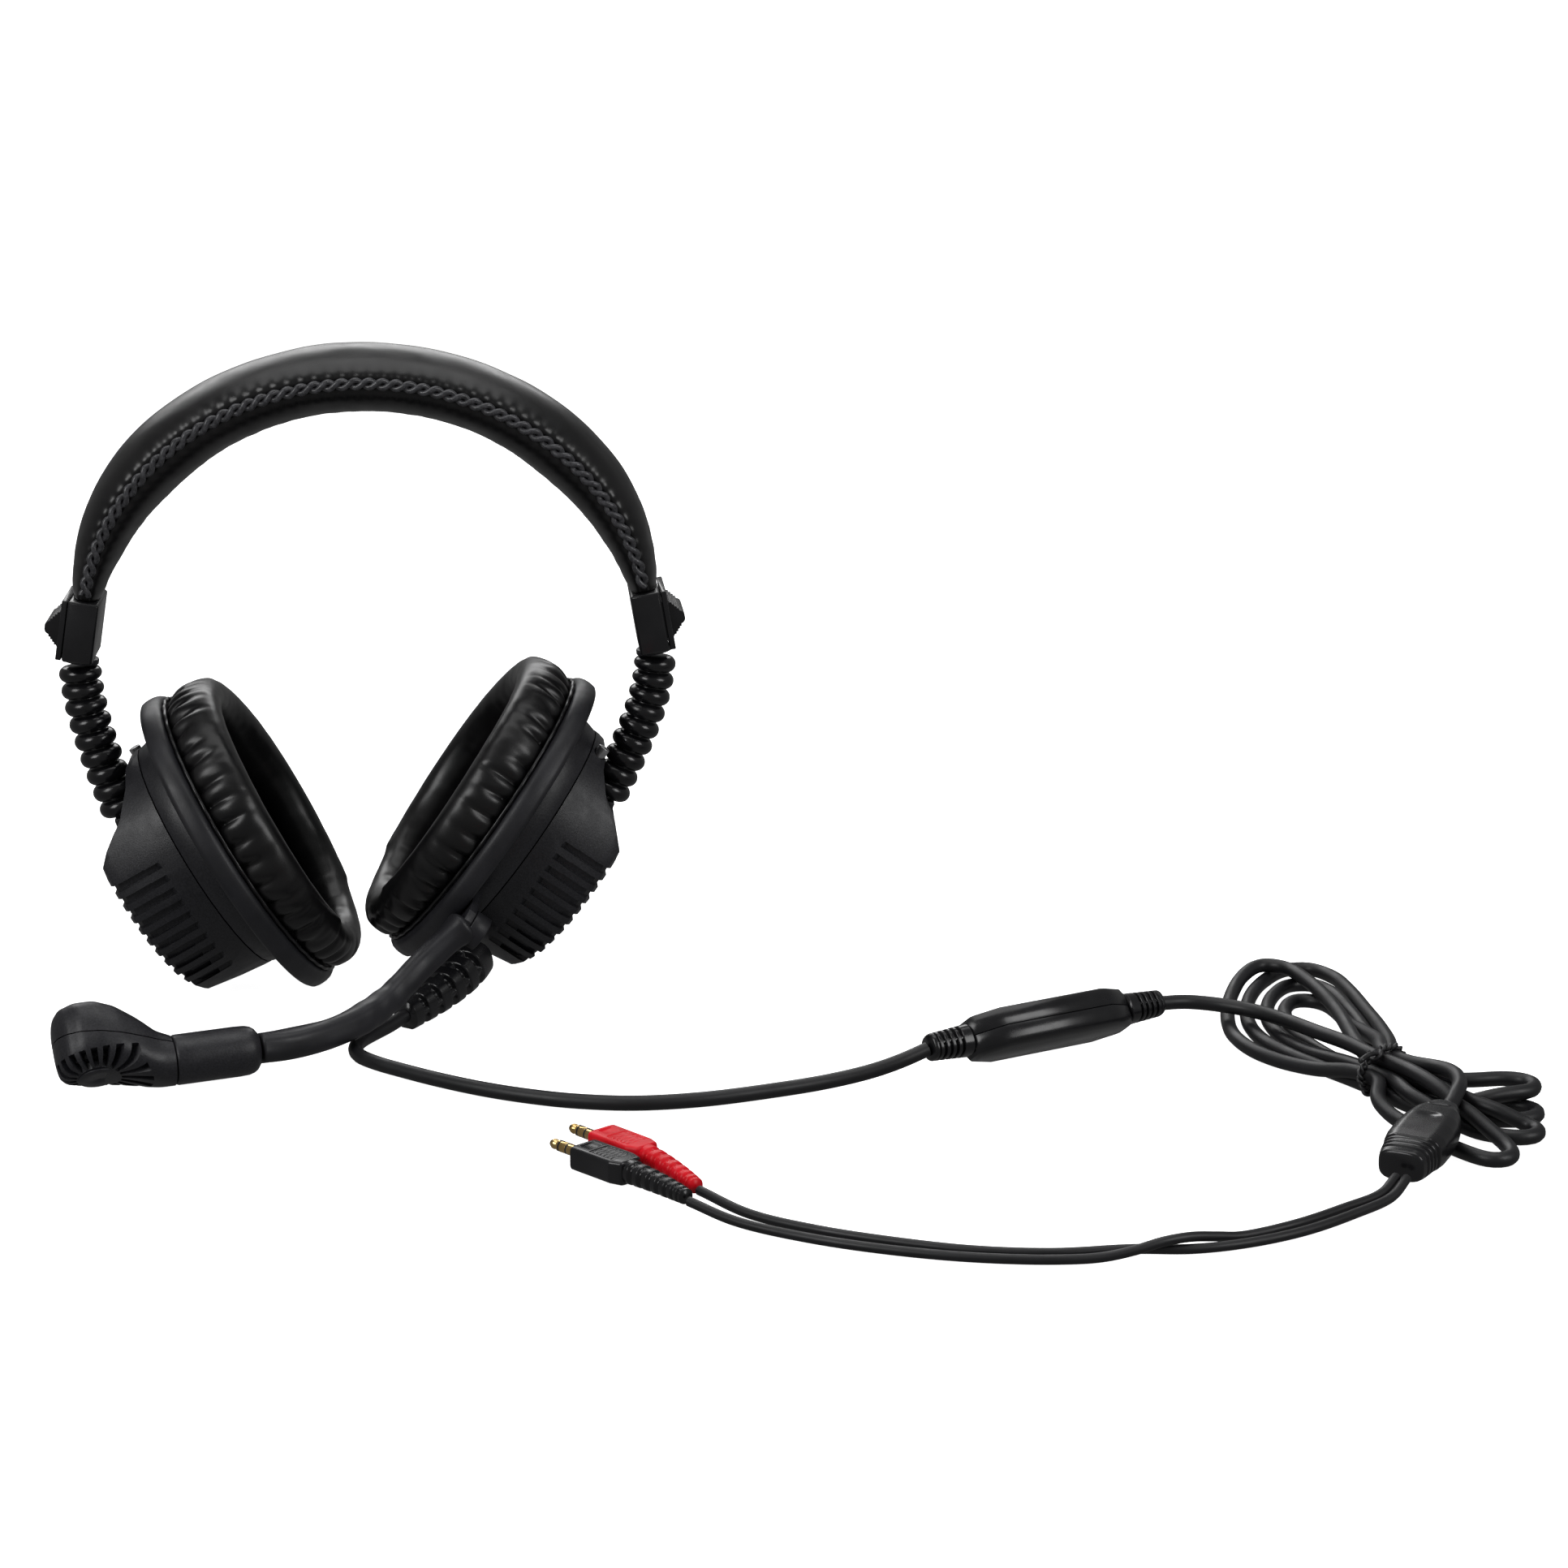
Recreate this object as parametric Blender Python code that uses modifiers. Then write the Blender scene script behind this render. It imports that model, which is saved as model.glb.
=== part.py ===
"""Aviation headset on a table: padded headband, two ear cups on bellows arms, a boom microphone,
and a cord with an in-line case, a tied hank, a splitter and two plugs.

Lengths are in millimetres and become metres through MM. +Z is up, -Y is the way the wearer faces,
and +X is the wearer's left, the side that carries the boom. Pieces of an ear cup are written in the
cup's own frame: u runs down the long way of its flange ring, w runs outward from the ring.
"""

import math

import bmesh
import bpy
from mathutils import Matrix, Vector

MM = 0.001
GAP = 0.3

# The whole object
PLANE_Y = 37.9              # the headband's middle plane, behind the origin
BAND_CENTRE_Z = 125.0       # centre of the headband's elliptical middle line
BAND_HALF_SPAN = 94.2
BAND_RISE = 84.5
BAND_THICK = 23.4
BAND_END_THICK = 10.0
BAND_WIDTH = 40.0
BAND_END_WIDTH = 27.0
BAND_TAPER_FROM = 40.0      # degrees from the crown where the pad starts to thin

# Slider housings at the band's ends, leaning outward at the bottom
HOUSING_X = 94.9
HOUSING_Z = 126.7
HOUSING_LEAN = math.radians(9.4)
HOUSING_HALF = (5.0, 15.0, 10.35)      # half thickness, half depth, half height
CHANNEL_HALF = (2.2, 8.0)
PLATE = (5.3, 7.2)
SLIDE_TRAVEL = 18.0

# Ear cups
CUPS = {
    "left": {"side": 1, "centre": (43.5, 55.3), "tilt": math.radians(36.5)},
    "right": {"side": -1, "centre": (-49.6, 48.8), "tilt": math.radians(30.0)},
}
OVAL = 0.904                # short axis of the ring and cushion over the long one
RING_R = 57.0
RING_THICK = 7.5
CUSHION_R = 56.0
CUSHION_HOLE_R = 40.0
CUSHION_THICK = 16.5
BODY_OFFSET = -1.5          # the shell's centre sits this far up from the ring's
BODY_OVAL = 0.88
PIVOT_U = -24.0             # where the arm's lug turns in the cup
PIVOT_W = 25.2
ARM_END = 4.6               # from the bellows' end to the pivot
ARM_SLOPE = math.radians(11.0)
BELLOWS_RINGS = 9
BELLOWS_R = 7.1
BELLOWS_NECK_R = 4.0
BELLOWS_BORE_R = 2.4

# Boom and microphone
BOOM_R = 4.7
BOOM_POINTS = ((25.4, -55.0, 29.8), (15.8, -60.5, 22.2), (5.2, -71.5, 14.4), (-3.3, -81.0, 11.0),
               (-11.3, -89.5, 9.7), (-19.5, -96.3, 9.5), (-27.0, -100.8, 9.4), (-34.4, -103.8, 9.4))
BOOM_BEND = 3               # index of the point where the boom is bent
BOOM_GAP = 0.8
SLEEVE_START = Vector((-34.8, -104.0, 9.4))
SLEEVE_END = Vector((-61.4, -111.9, 8.88))
SLEEVE_R = 8.0
HEAD_UP = Vector((-0.206, 0.635, 0.744))
HEAD_REACH = 22.4           # from the head's middle to the joint with the sleeve

# Cord and what is on it
CORD_R = 2.3
BRANCH_R = 1.4
CORD_A = ((10.2, -57.3, 4.3), (5.2, -63.6, 3.0), (0.2, -70.2, 2.4), (-3.6, -77.2, 2.35),
          (-5.2, -84.6, 2.35), (-3.6, -92.6, 2.35), (1.8, -100.2, 2.35), (10.6, -108.8, 2.35),
          (22.0, -118.8, 2.35), (36.0, -129.2, 2.35), (50.0, -137.2, 2.35), (64.0, -143.0, 2.35),
          (82.0, -146.6, 2.35), (102.0, -145.2, 2.35), (122.7, -139.6, 2.4), (143.8, -133.0, 3.0),
          (158.0, -129.9, 5.0), (167.5, -127.8, 7.4), (176.0, -124.7, 9.9))
CORD_B = ((258.7, -83.8, 10.1), (264.2, -80.6, 8.2), (270.2, -78.6, 5.6), (277.4, -79.4, 5.0))
BRANCH_BLACK = ((298.2, -235.9, 4.2), (292.0, -243.2, 2.0), (279.0, -252.4, 1.5),
                (262.4, -263.6, 1.5), (245.0, -271.8, 1.7), (237.4, -275.2, 3.2),
                (229.6, -278.4, 4.6), (221.4, -281.2, 4.6), (213.0, -283.0, 3.0), (204.0, -284.0, 1.7),
                (191.0, -284.2, 1.5), (169.0, -280.6, 1.5), (147.6, -273.4, 1.5),
                (126.0, -262.6, 1.5), (106.2, -248.0, 1.6), (93.8, -235.4, 3.2))
BRANCH_RED = ((300.9, -237.4, 4.2), (294.8, -245.4, 1.9), (280.6, -257.2, 1.5),
              (262.8, -269.4, 1.5), (245.0, -276.8, 1.5), (229.6, -279.6, 1.5),
              (213.4, -278.2, 1.5), (191.4, -279.2, 1.5), (169.8, -275.4, 1.5),
              (149.4, -267.4, 1.5), (128.6, -256.4, 1.5), (110.4, -242.4, 1.6),
              (97.2, -226.6, 3.2))
CASE_CENTRE = Vector((217.3, -104.3, 10.3))
CASE_HEADING = math.radians(26.2)
CASE_ROLL = math.radians(36.0)
CASE_SIZE = (62.0, 20.0, 13.4)
HANK_OUTLINE = ((304.0, -30.0), (313.0, -22.0), (324.0, -21.5), (332.0, -33.0), (333.5, -54.0),
                (332.5, -82.0), (331.5, -104.0), (329.5, -127.0), (330.0, -146.5), (337.0, -156.5),
                (350.0, -158.0), (362.0, -162.0), (362.0, -176.0), (357.0, -192.0), (347.5, -206.0),
                (341.0, -221.0), (333.0, -223.0), (325.0, -216.0), (329.5, -203.5), (331.5, -194.0),
                (327.5, -188.6), (318.8, -183.4), (311.0, -181.0), (307.5, -166.0), (303.5, -151.0),
                (291.0, -135.0), (280.0, -117.0), (277.0, -97.0), (279.0, -74.0), (286.0, -53.0))
HANK_HEIGHT = 11.0
TIE_MIDDLE = (317.0, -150.0)
TIE_ACROSS = math.radians(26.7)
TIE_HALF = 15.5
TIE_R = 1.2
SPLITTER_TOP = Vector((323.0, -197.5, 9.6))
SPLITTER_END = Vector((300.4, -232.0, 5.8))
PLUGS = {
    "black": {"front": (64.8, -194.6), "heading": (0.64, -0.768), "relief_to": (93.0, -233.6)},
    "red": {"front": (70.6, -181.8), "heading": (0.62, -0.785), "relief_to": (96.4, -225.2)},
}
PLUG_BODY = (21.4, 10.9, 7.4)
PIN_R = 1.75
PIN_LENGTH = 14.0

LINKS = {}


# ---- shared tools ----------------------------------------------------------------------------

def clear_scene():
    for obj in list(bpy.data.objects):
        bpy.data.objects.remove(obj, do_unlink=True)


def collection(name):
    made = bpy.data.collections.new(name)
    bpy.context.scene.collection.children.link(made)
    return made


def material(name, colour, roughness, metallic=0.0):
    made = bpy.data.materials.new(name)
    made.use_nodes = True
    shader = made.node_tree.nodes["Principled BSDF"]
    shader.inputs["Base Color"].default_value = (*colour, 1.0)
    shader.inputs["Roughness"].default_value = roughness
    shader.inputs["Metallic"].default_value = metallic
    return made


def at(x, y, z):
    """A point written from the headband's middle plane, in metres from the origin."""
    return Vector((x, y + PLANE_Y, z)) * MM


def frame(name, origin, x_axis, z_axis):
    """An empty at origin (metres) whose X and Z run along the two axes."""
    z_axis = z_axis.normalized()
    x_axis = (x_axis - x_axis.dot(z_axis) * z_axis).normalized()
    y_axis = z_axis.cross(x_axis)
    empty = bpy.data.objects.new(name, None)
    turn = Matrix((x_axis, y_axis, z_axis)).transposed()
    empty.matrix_world = Matrix.Translation(origin) @ turn.to_4x4()
    LINKS["parts"].objects.link(empty)
    return empty


def place(name, data, look, parent, cutter):
    obj = bpy.data.objects.new(name, data)
    if look is not None:
        data.materials.append(look)
    if cutter:
        LINKS["cutters"].objects.link(obj)
        obj.hide_render = True
        obj.display_type = "WIRE"
    else:
        LINKS["parts"].objects.link(obj)
    if parent is not None:
        obj.parent = parent
    return obj


def mesh_of(bm, name, smooth):
    bmesh.ops.scale(bm, vec=(MM, MM, MM), verts=bm.verts)
    bmesh.ops.recalc_face_normals(bm, faces=bm.faces)
    mesh = bpy.data.meshes.new(name)
    bm.to_mesh(mesh)
    bm.free()
    if smooth:
        mesh.shade_smooth()
        mesh.set_sharp_from_angle(angle=math.radians(40.0))
    return mesh


def cut(obj, cutter, operation="DIFFERENCE"):
    modifier = obj.modifiers.new(cutter.name, "BOOLEAN")
    modifier.operation = operation
    modifier.object = cutter
    modifier.solver = "EXACT"


def round_edges(obj, width, segments=2, angle=35.0):
    modifier = obj.modifiers.new("Round edges", "BEVEL")
    modifier.width = width * MM
    modifier.segments = segments
    modifier.limit_method = "ANGLE"
    modifier.angle_limit = math.radians(angle)


def turned(name, profile, look, parent, steps=36, closed=True, oval=1.0, offset=0.0, cutter=False):
    """A profile of (radius, height) pairs turned about Z, outer side first from top to bottom."""
    bm = bmesh.new()
    verts = [bm.verts.new((r, 0.0, z)) for r, z in profile]
    for first, second in zip(verts, verts[1:]):
        bm.edges.new((first, second))
    if closed:
        bm.edges.new((verts[-1], verts[0]))
    bmesh.ops.scale(bm, vec=(MM, MM, MM), verts=bm.verts)
    mesh = bpy.data.meshes.new(name)
    bm.to_mesh(mesh)
    bm.free()
    obj = place(name, mesh, look, parent, cutter)
    obj.location = (offset * MM, 0.0, 0.0)
    obj.scale = (1.0, oval, 1.0)
    screw = obj.modifiers.new("Turn", "SCREW")
    screw.axis = "Z"
    screw.angle = math.tau
    screw.steps = steps
    screw.render_steps = steps
    screw.use_merge_vertices = True
    screw.merge_threshold = 0.00001
    screw.use_smooth_shade = True
    return obj


def prism(name, outline, low, high, to_point, look, parent, cutter=False):
    """A flat outline drawn out from low to high; to_point turns (a, b, t) into a point."""
    bm = bmesh.new()
    face = bm.faces.new([bm.verts.new(to_point(a, b, low)) for a, b in outline])
    grown = bmesh.ops.extrude_face_region(bm, geom=[face])
    moved = [item for item in grown["geom"] if isinstance(item, bmesh.types.BMVert)]
    shift = Vector(to_point(0.0, 0.0, high)) - Vector(to_point(0.0, 0.0, low))
    bmesh.ops.translate(bm, vec=shift, verts=moved)
    return place(name, mesh_of(bm, name, False), look, parent, cutter)


def block(name, size, centre, look, parent, cutter=False):
    bm = bmesh.new()
    bmesh.ops.create_cube(bm, size=1.0)
    bmesh.ops.scale(bm, vec=size, verts=bm.verts)
    bmesh.ops.translate(bm, vec=centre, verts=bm.verts)
    return place(name, mesh_of(bm, name, False), look, parent, cutter)


def rod(name, radius, start, end, look, parent, sides=12, cutter=False, radius_end=None):
    """A round bar or cone from start to end, with flat ends."""
    start = Vector(start)
    along = Vector(end) - start
    turn = along.to_track_quat("Z", "Y").to_matrix().to_4x4()
    bm = bmesh.new()
    bmesh.ops.create_cone(bm, cap_ends=True, segments=sides, radius1=radius,
                          radius2=radius if radius_end is None else radius_end,
                          depth=along.length,
                          matrix=Matrix.Translation(start + along / 2.0) @ turn)
    return place(name, mesh_of(bm, name, True), look, parent, cutter)


def loft(name, loops, look, parent, cutter=False, ring=False):
    """A skin over loops of equal count, capped at both ends, or joined end to end as a ring."""
    bm = bmesh.new()
    rows = [[bm.verts.new(point) for point in loop] for loop in loops]
    count = len(rows[0])
    following = rows[1:] + rows[:1] if ring else rows[1:]
    for near, far in zip(rows, following):
        for i in range(count):
            j = (i + 1) % count
            bm.faces.new((near[i], near[j], far[j], far[i]))
    if not ring:
        bm.faces.new(rows[0])
        bm.faces.new(rows[-1])
    return place(name, mesh_of(bm, name, True), look, parent, cutter)


def tube(name, points, radius, look, parent=None, resolution=2, cyclic=False):
    """A round cord along points given in metres."""
    curve = bpy.data.curves.new(name, "CURVE")
    curve.dimensions = "3D"
    curve.bevel_depth = radius * MM
    curve.bevel_resolution = resolution
    curve.use_fill_caps = not cyclic
    spline = curve.splines.new("POLY")
    spline.points.add(len(points) - 1)
    for spot, point in zip(spline.points, points):
        spot.co = (*point, 1.0)
    spline.use_cyclic_u = cyclic
    return place(name, curve, look, parent, False)


def superellipse(half_a, half_b, count, power=2.0):
    """Points round an oval; a higher power makes it squarer."""
    points = []
    for i in range(count):
        angle = math.tau * i / count
        c, s = math.cos(angle), math.sin(angle)
        points.append((half_a * math.copysign(abs(c) ** (2.0 / power), c),
                       half_b * math.copysign(abs(s) ** (2.0 / power), s)))
    return points


def smooth_route(points, spacing):
    """Points every spacing mm or so along a smooth curve through the given ones."""
    points = [Vector(p) for p in points]
    padded = [points[0] * 2 - points[1], *points, points[-1] * 2 - points[-2]]
    route = []
    for i in range(1, len(padded) - 2):
        before, start, end, after = padded[i - 1:i + 3]
        pieces = max(1, round((end - start).length / spacing))
        for k in range(pieces):
            t = k / pieces
            route.append(0.5 * (2 * start + (end - before) * t
                                + (2 * before - 5 * start + 4 * end - after) * t ** 2
                                + (3 * start - before - 3 * end + after) * t ** 3))
    return [*route, points[-1]]


def bezier(points, t):
    a, b, c, d = points
    s = 1.0 - t
    return a * s ** 3 + b * 3 * s * s * t + c * 3 * s * t * t + d * t ** 3


def ring_round(here, way, outline):
    """A section's (across, up) points set round a path at here, square to way."""
    across = way.cross(Vector((0, 0, 1))).normalized()
    upward = across.cross(way)
    return [here + across * a + upward * b for a, b in outline]


def direction(route, t, step=0.02):
    return (bezier(route, min(1.0, t + step)) - bezier(route, max(0.0, t - step))).normalized()


def inset(outline, distance):
    """The outline moved in by distance; it is drawn clockwise."""
    moved = []
    count = len(outline)
    for i in range(count):
        before, here, after = (Vector(outline[(i + k) % count]) for k in (-1, 0, 1))
        first = (here - before).normalized()
        second = (after - here).normalized()
        normal = Vector((first.y + second.y, -first.x - second.x))
        normal.normalize()
        stretch = distance / max(0.5, normal.dot(Vector((first.y, -first.x))))
        moved.append(tuple(here + normal * stretch))
    return moved


# ---- headband and sliders --------------------------------------------------------------------

def band_point(angle, out=0.0):
    """Point and outward normal on the band's middle line, angle in degrees from the crown."""
    turn = math.radians(angle)
    point = Vector((BAND_HALF_SPAN * math.sin(turn), 0.0,
                    BAND_CENTRE_Z + BAND_RISE * math.cos(turn)))
    normal = Vector((math.sin(turn) / BAND_HALF_SPAN, 0.0, math.cos(turn) / BAND_RISE)).normalized()
    return point + normal * out, normal


def housing_point(side, out, y, down):
    """A point in a slider housing: outward from the head, front to back, and down the slide."""
    lean_x, lean_z = math.sin(HOUSING_LEAN), math.cos(HOUSING_LEAN)
    x = HOUSING_X + out * lean_z + down * lean_x
    z = HOUSING_Z + out * lean_x - down * lean_z
    return Vector((side * x, y, z))


def band_end_angle():
    """The angle at which the band's middle line reaches the housing's top face."""
    top = housing_point(1, 0.0, 0.0, -HOUSING_HALF[2] - GAP)
    return math.degrees(math.acos((top.z - BAND_CENTRE_Z) / BAND_RISE))


def taper(angle):
    reach = band_end_angle() - BAND_TAPER_FROM
    return max(0.0, (abs(angle) - BAND_TAPER_FROM) / reach) ** 2


def headband(looks):
    origin = frame("headband_frame", at(0, 0, 0), Vector((1, 0, 0)), Vector((0, 0, 1)))
    end = band_end_angle()
    stations = 28
    angles = [end * (2.0 * i / stations - 1.0) for i in range(stations + 1)]

    loops = []
    for angle in angles:
        thick = BAND_THICK + (BAND_END_THICK - BAND_THICK) * taper(angle)
        width = BAND_WIDTH + (BAND_END_WIDTH - BAND_WIDTH) * taper(angle)
        loop = []
        for a, b in superellipse(width / 2.0, thick / 2.0, 16, 1.8):
            point, _ = band_point(angle, b)
            point.y = a
            loop.append(point)
        loops.append(loop)
    cover = loft("headband_cover", loops, looks["leather"], origin)

    channel_angles = [-end - 3.0, *angles[1:-1], end + 3.0]
    channel = []
    for angle in channel_angles:
        corners = ((-2.2, -8.4), (2.2, -8.4), (2.2, 8.4), (-2.2, 8.4))
        channel.append([band_point(angle, out)[0] + Vector((0, y, 0)) for out, y in corners])
    cut(cover, loft("headband_channel", channel, None, origin, cutter=True))

    strip = []
    corners = ((0.4, -7.0), (1.4, -7.0), (1.4, 7.0), (0.4, 7.0))
    strip.append([housing_point(-1, out, y, -8.4) for out, y in corners])
    for angle in angles[0:None:2]:
        strip.append([band_point(angle, out)[0] + Vector((0, y, 0)) for out, y in corners])
    strip.append([housing_point(1, out, y, -8.4) for out, y in corners])
    loft("headband_spring_strip", strip, looks["steel"], origin)


def slider(name, side, looks):
    """One slider housing, its cover plate and its release button."""
    spot = housing_point(side, 0.0, 0.0, 0.0)
    outward = housing_point(side, 1.0, 0.0, 0.0) - spot
    down = housing_point(side, 0.0, 0.0, 1.0) - spot
    home = frame(f"{name}_slider_frame", at(*spot), outward, down)
    half_t, half_d, half_h = HOUSING_HALF

    body = block(f"{name}_slider_housing", (2 * half_t, 2 * half_d, 2 * half_h), (0, 0, 0),
                 looks["plastic"], home)
    round_edges(body, 0.7)
    cut(body, block(f"{name}_channel_cut", (2 * CHANNEL_HALF[0], 2 * CHANNEL_HALF[1], 30.0),
                    (0, 0, 0), None, home, cutter=True))
    cut(body, block(f"{name}_button_cut", (6.0, 23.6, 15.8), (4.4, 0, 0), None, home, cutter=True))

    low, high = PLATE
    plate = block(f"{name}_slider_cover", (high - low, 2 * half_d - 2.0, 2 * half_h - 0.4),
                  ((low + high) / 2.0, 0, 0), looks["plastic"], home)
    cut(plate, block(f"{name}_window_cut", (6.0, 23.6, 13.2), ((low + high) / 2.0, 0, 0),
                     None, home, cutter=True))

    half_outline = ((7.6, 3.2), (7.6, 4.8), (6.3, 4.8), (6.3, 7.4), (5.2, 7.8), (2.3, 10.4),
                    (1.9, 11.4), (0.9, 12.1))
    outline = [*half_outline, *[(-a, b) for a, b in reversed(half_outline)]]
    prism(f"{name}_release_button", outline, -11.5, 11.5, lambda a, b, t: (b, t, a),
          looks["plastic"], home)
    return home


# ---- ear cups --------------------------------------------------------------------------------

def cup_axes(name):
    cup = CUPS[name]
    side, tilt = cup["side"], cup["tilt"]
    down = Vector((-side * math.sin(tilt), 0.0, -math.cos(tilt)))
    outward = Vector((side * math.cos(tilt), 0.0, -math.sin(tilt)))
    return Vector((cup["centre"][0], 0.0, cup["centre"][1])), down, outward


def cup_point(name, u, y, w):
    centre, down, outward = cup_axes(name)
    return centre + down * u + outward * w + Vector((0.0, y, 0.0))


def ear_cup(name, looks):
    centre, down, outward = cup_axes(name)
    home = frame(f"{name}_cup_frame", at(*centre), down, outward)

    turned(f"{name}_flange_ring",
           [(55.4, 0.0), (56.7, -0.9), (RING_R, -2.4), (RING_R, -5.0), (56.4, -6.6),
            (54.6, -RING_THICK), (46.6, -RING_THICK), (46.6, 0.0)],
           looks["rubber"], home, oval=OVAL)

    seam = -RING_THICK - GAP
    face = -RING_THICK - CUSHION_THICK
    turned(f"{name}_ear_cushion",
           [(54.4, seam), (CUSHION_R, -11.6), (CUSHION_R - 0.3, -17.5), (52.7, -21.8),
            (48.4, face), (44.0, face + 0.7), (41.0, -20.4), (CUSHION_HOLE_R, -14.5),
            (41.4, seam)], looks["leather"], home, oval=OVAL)

    turned(f"{name}_baffle_plate", [(46.2, -4.0), (46.2, -6.0), (17.5, -6.0), (17.5, -4.0)],
           looks["plastic"], home, oval=OVAL)
    turned(f"{name}_speaker_driver",
           [(0.0, 8.0), (11.0, 8.0), (11.0, 4.0), (20.0, 3.0), (20.0, -3.7), (0.0, -3.7)],
           looks["steel"], home, steps=24, closed=False)

    turned(f"{name}_cup_base",
           [(43.0, 8.0), (45.0, GAP), (23.0, GAP), (23.0, 2.0), (42.8, 2.0), (40.9, 8.0)],
           looks["plastic"], home, oval=BODY_OVAL, offset=BODY_OFFSET)

    cup_shell(name, home, looks)
    lug_and_pin(name, looks)

    screw_from = (-44.2, -13.0, 11.6)
    screw_to = (-37.0, -13.0, 11.6)
    rod(f"{name}_case_screw", 2.1, screw_from, screw_to, looks["steel"], home)
    return home


def shell_outline():
    """The shell seen from the front as (u, w): boss, scooped recess, corner, ribbed back, foot."""
    return [(-45.8, 6.0), (-44.3, 9.0), (-42.6, 13.4), (-38.5, 15.0), (-35.2, 17.7), (-31.5, 20.8),
            (-28.3, 24.8), (-25.0, 29.8), (-20.7, 34.0), (-16.6, 34.8), (10.5, 34.8), (22.0, 33.7),
            (30.8, 32.1), (35.8, 29.7), (38.5, 18.0), (42.2, 6.0)]


def oval_blank(name, shrink, home, foot):
    """The turned blank of the shell, made smaller all round by shrink."""
    profile = [(0.0, 35.6 - shrink), (36.0, 35.3 - shrink), (40.4 - shrink, 33.4 - shrink),
               (42.0 - shrink, 29.5 - shrink), (43.0 - shrink, foot), (0.0, foot)]
    return profile


def u_section(radius, middle, top):
    """A U-shaped section as (y, w), open towards larger w."""
    arc = [(radius * math.cos(math.radians(a)), middle + radius * math.sin(math.radians(a)))
           for a in range(180, 361, 30)]
    return [(-radius, top), *arc, (radius, top)]


def cup_shell(name, home, looks):
    along_y = lambda a, b, t: (a, t, b)
    along_u = lambda a, b, t: (t, a, b)
    wall = 2.2

    shell = turned(f"{name}_cup_shell", oval_blank("outer", 0.0, home, 8.0 + GAP), looks["plastic"],
                   home, closed=False, oval=BODY_OVAL, offset=BODY_OFFSET)
    cut(shell, prism(f"{name}_shell_outline", shell_outline(), -60.0, 60.0, along_y, None, home,
                     cutter=True), "INTERSECT")

    cavity = turned(f"{name}_cavity", oval_blank("inner", wall, home, 5.0), None, home,
                    closed=False, oval=BODY_OVAL, offset=BODY_OFFSET, cutter=True)
    cut(cavity, prism(f"{name}_cavity_outline", inset(shell_outline(), wall), -60.0, 60.0, along_y,
                      None, home, cutter=True), "INTERSECT")
    cut(cavity, prism(f"{name}_pocket_liner", u_section(10.6, 24.2, 50.0), -56.0, -17.3, along_u,
                      None, home, cutter=True))
    cut(shell, cavity)
    cut(shell, prism(f"{name}_pocket", u_section(8.6, 24.2, 52.0), -58.0, -19.3, along_u, None,
                     home, cutter=True))

    slots = slot_cutter(name, home)
    cut(shell, slots)
    cut(shell, rod(f"{name}_pin_holes", 1.95, (PIVOT_U, -9.9, PIVOT_W), (PIVOT_U, 9.9, PIVOT_W),
                   None, home, cutter=True))
    cut(shell, rod(f"{name}_screw_hole", 2.5, (-48.0, -13.0, 11.6), (-34.0, -13.0, 11.6), None,
                   home, cutter=True))


def slot_cutter(name, home):
    """Ten vent grooves on the front and ten on the back, wrapping over the outer edge."""
    bm = bmesh.new()
    for i in range(10):
        for back in (-1, 1):
            spot = Matrix.Translation((-13.0 + 4.8 * i, back * 37.0, 30.5))
            bmesh.ops.create_cube(bm, size=1.0, matrix=spot @ Matrix.Diagonal((2.6, 32.0, 18.0, 1.0)))
    slots = place(f"{name}_slots", mesh_of(bm, f"{name}_slots", False), None, home, True)
    core = turned(f"{name}_slot_floor", oval_blank("floor", 1.4, home, 4.0), None, home,
                  closed=False, oval=BODY_OVAL, offset=BODY_OFFSET, cutter=True)
    cut(slots, core)
    return slots


def lug_and_pin(name, looks):
    """The lug at the arm's lower end and the pin it turns on."""
    centre, down, outward = cup_axes(name)
    side = CUPS[name]["side"]
    pivot = cup_point(name, PIVOT_U, 0.0, PIVOT_W)
    along = down * math.cos(ARM_SLOPE) + outward * math.sin(ARM_SLOPE)
    home = frame(f"{name}_lug_frame", at(*pivot), along, Vector((0.0, 1.0, 0.0)))
    lug = block(f"{name}_arm_lug", (7.2, 6.6, 8.0), (-0.6, 0, 0), looks["plastic"], home)
    round_edges(lug, 0.8)
    cut(lug, rod(f"{name}_lug_hole", 1.9, (0, 0, -9), (0, 0, 9), None, home, cutter=True))
    rod(f"{name}_pivot_pin", 1.6, (0, 0, -9.6), (0, 0, 9.6), looks["steel"], home)


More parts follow.
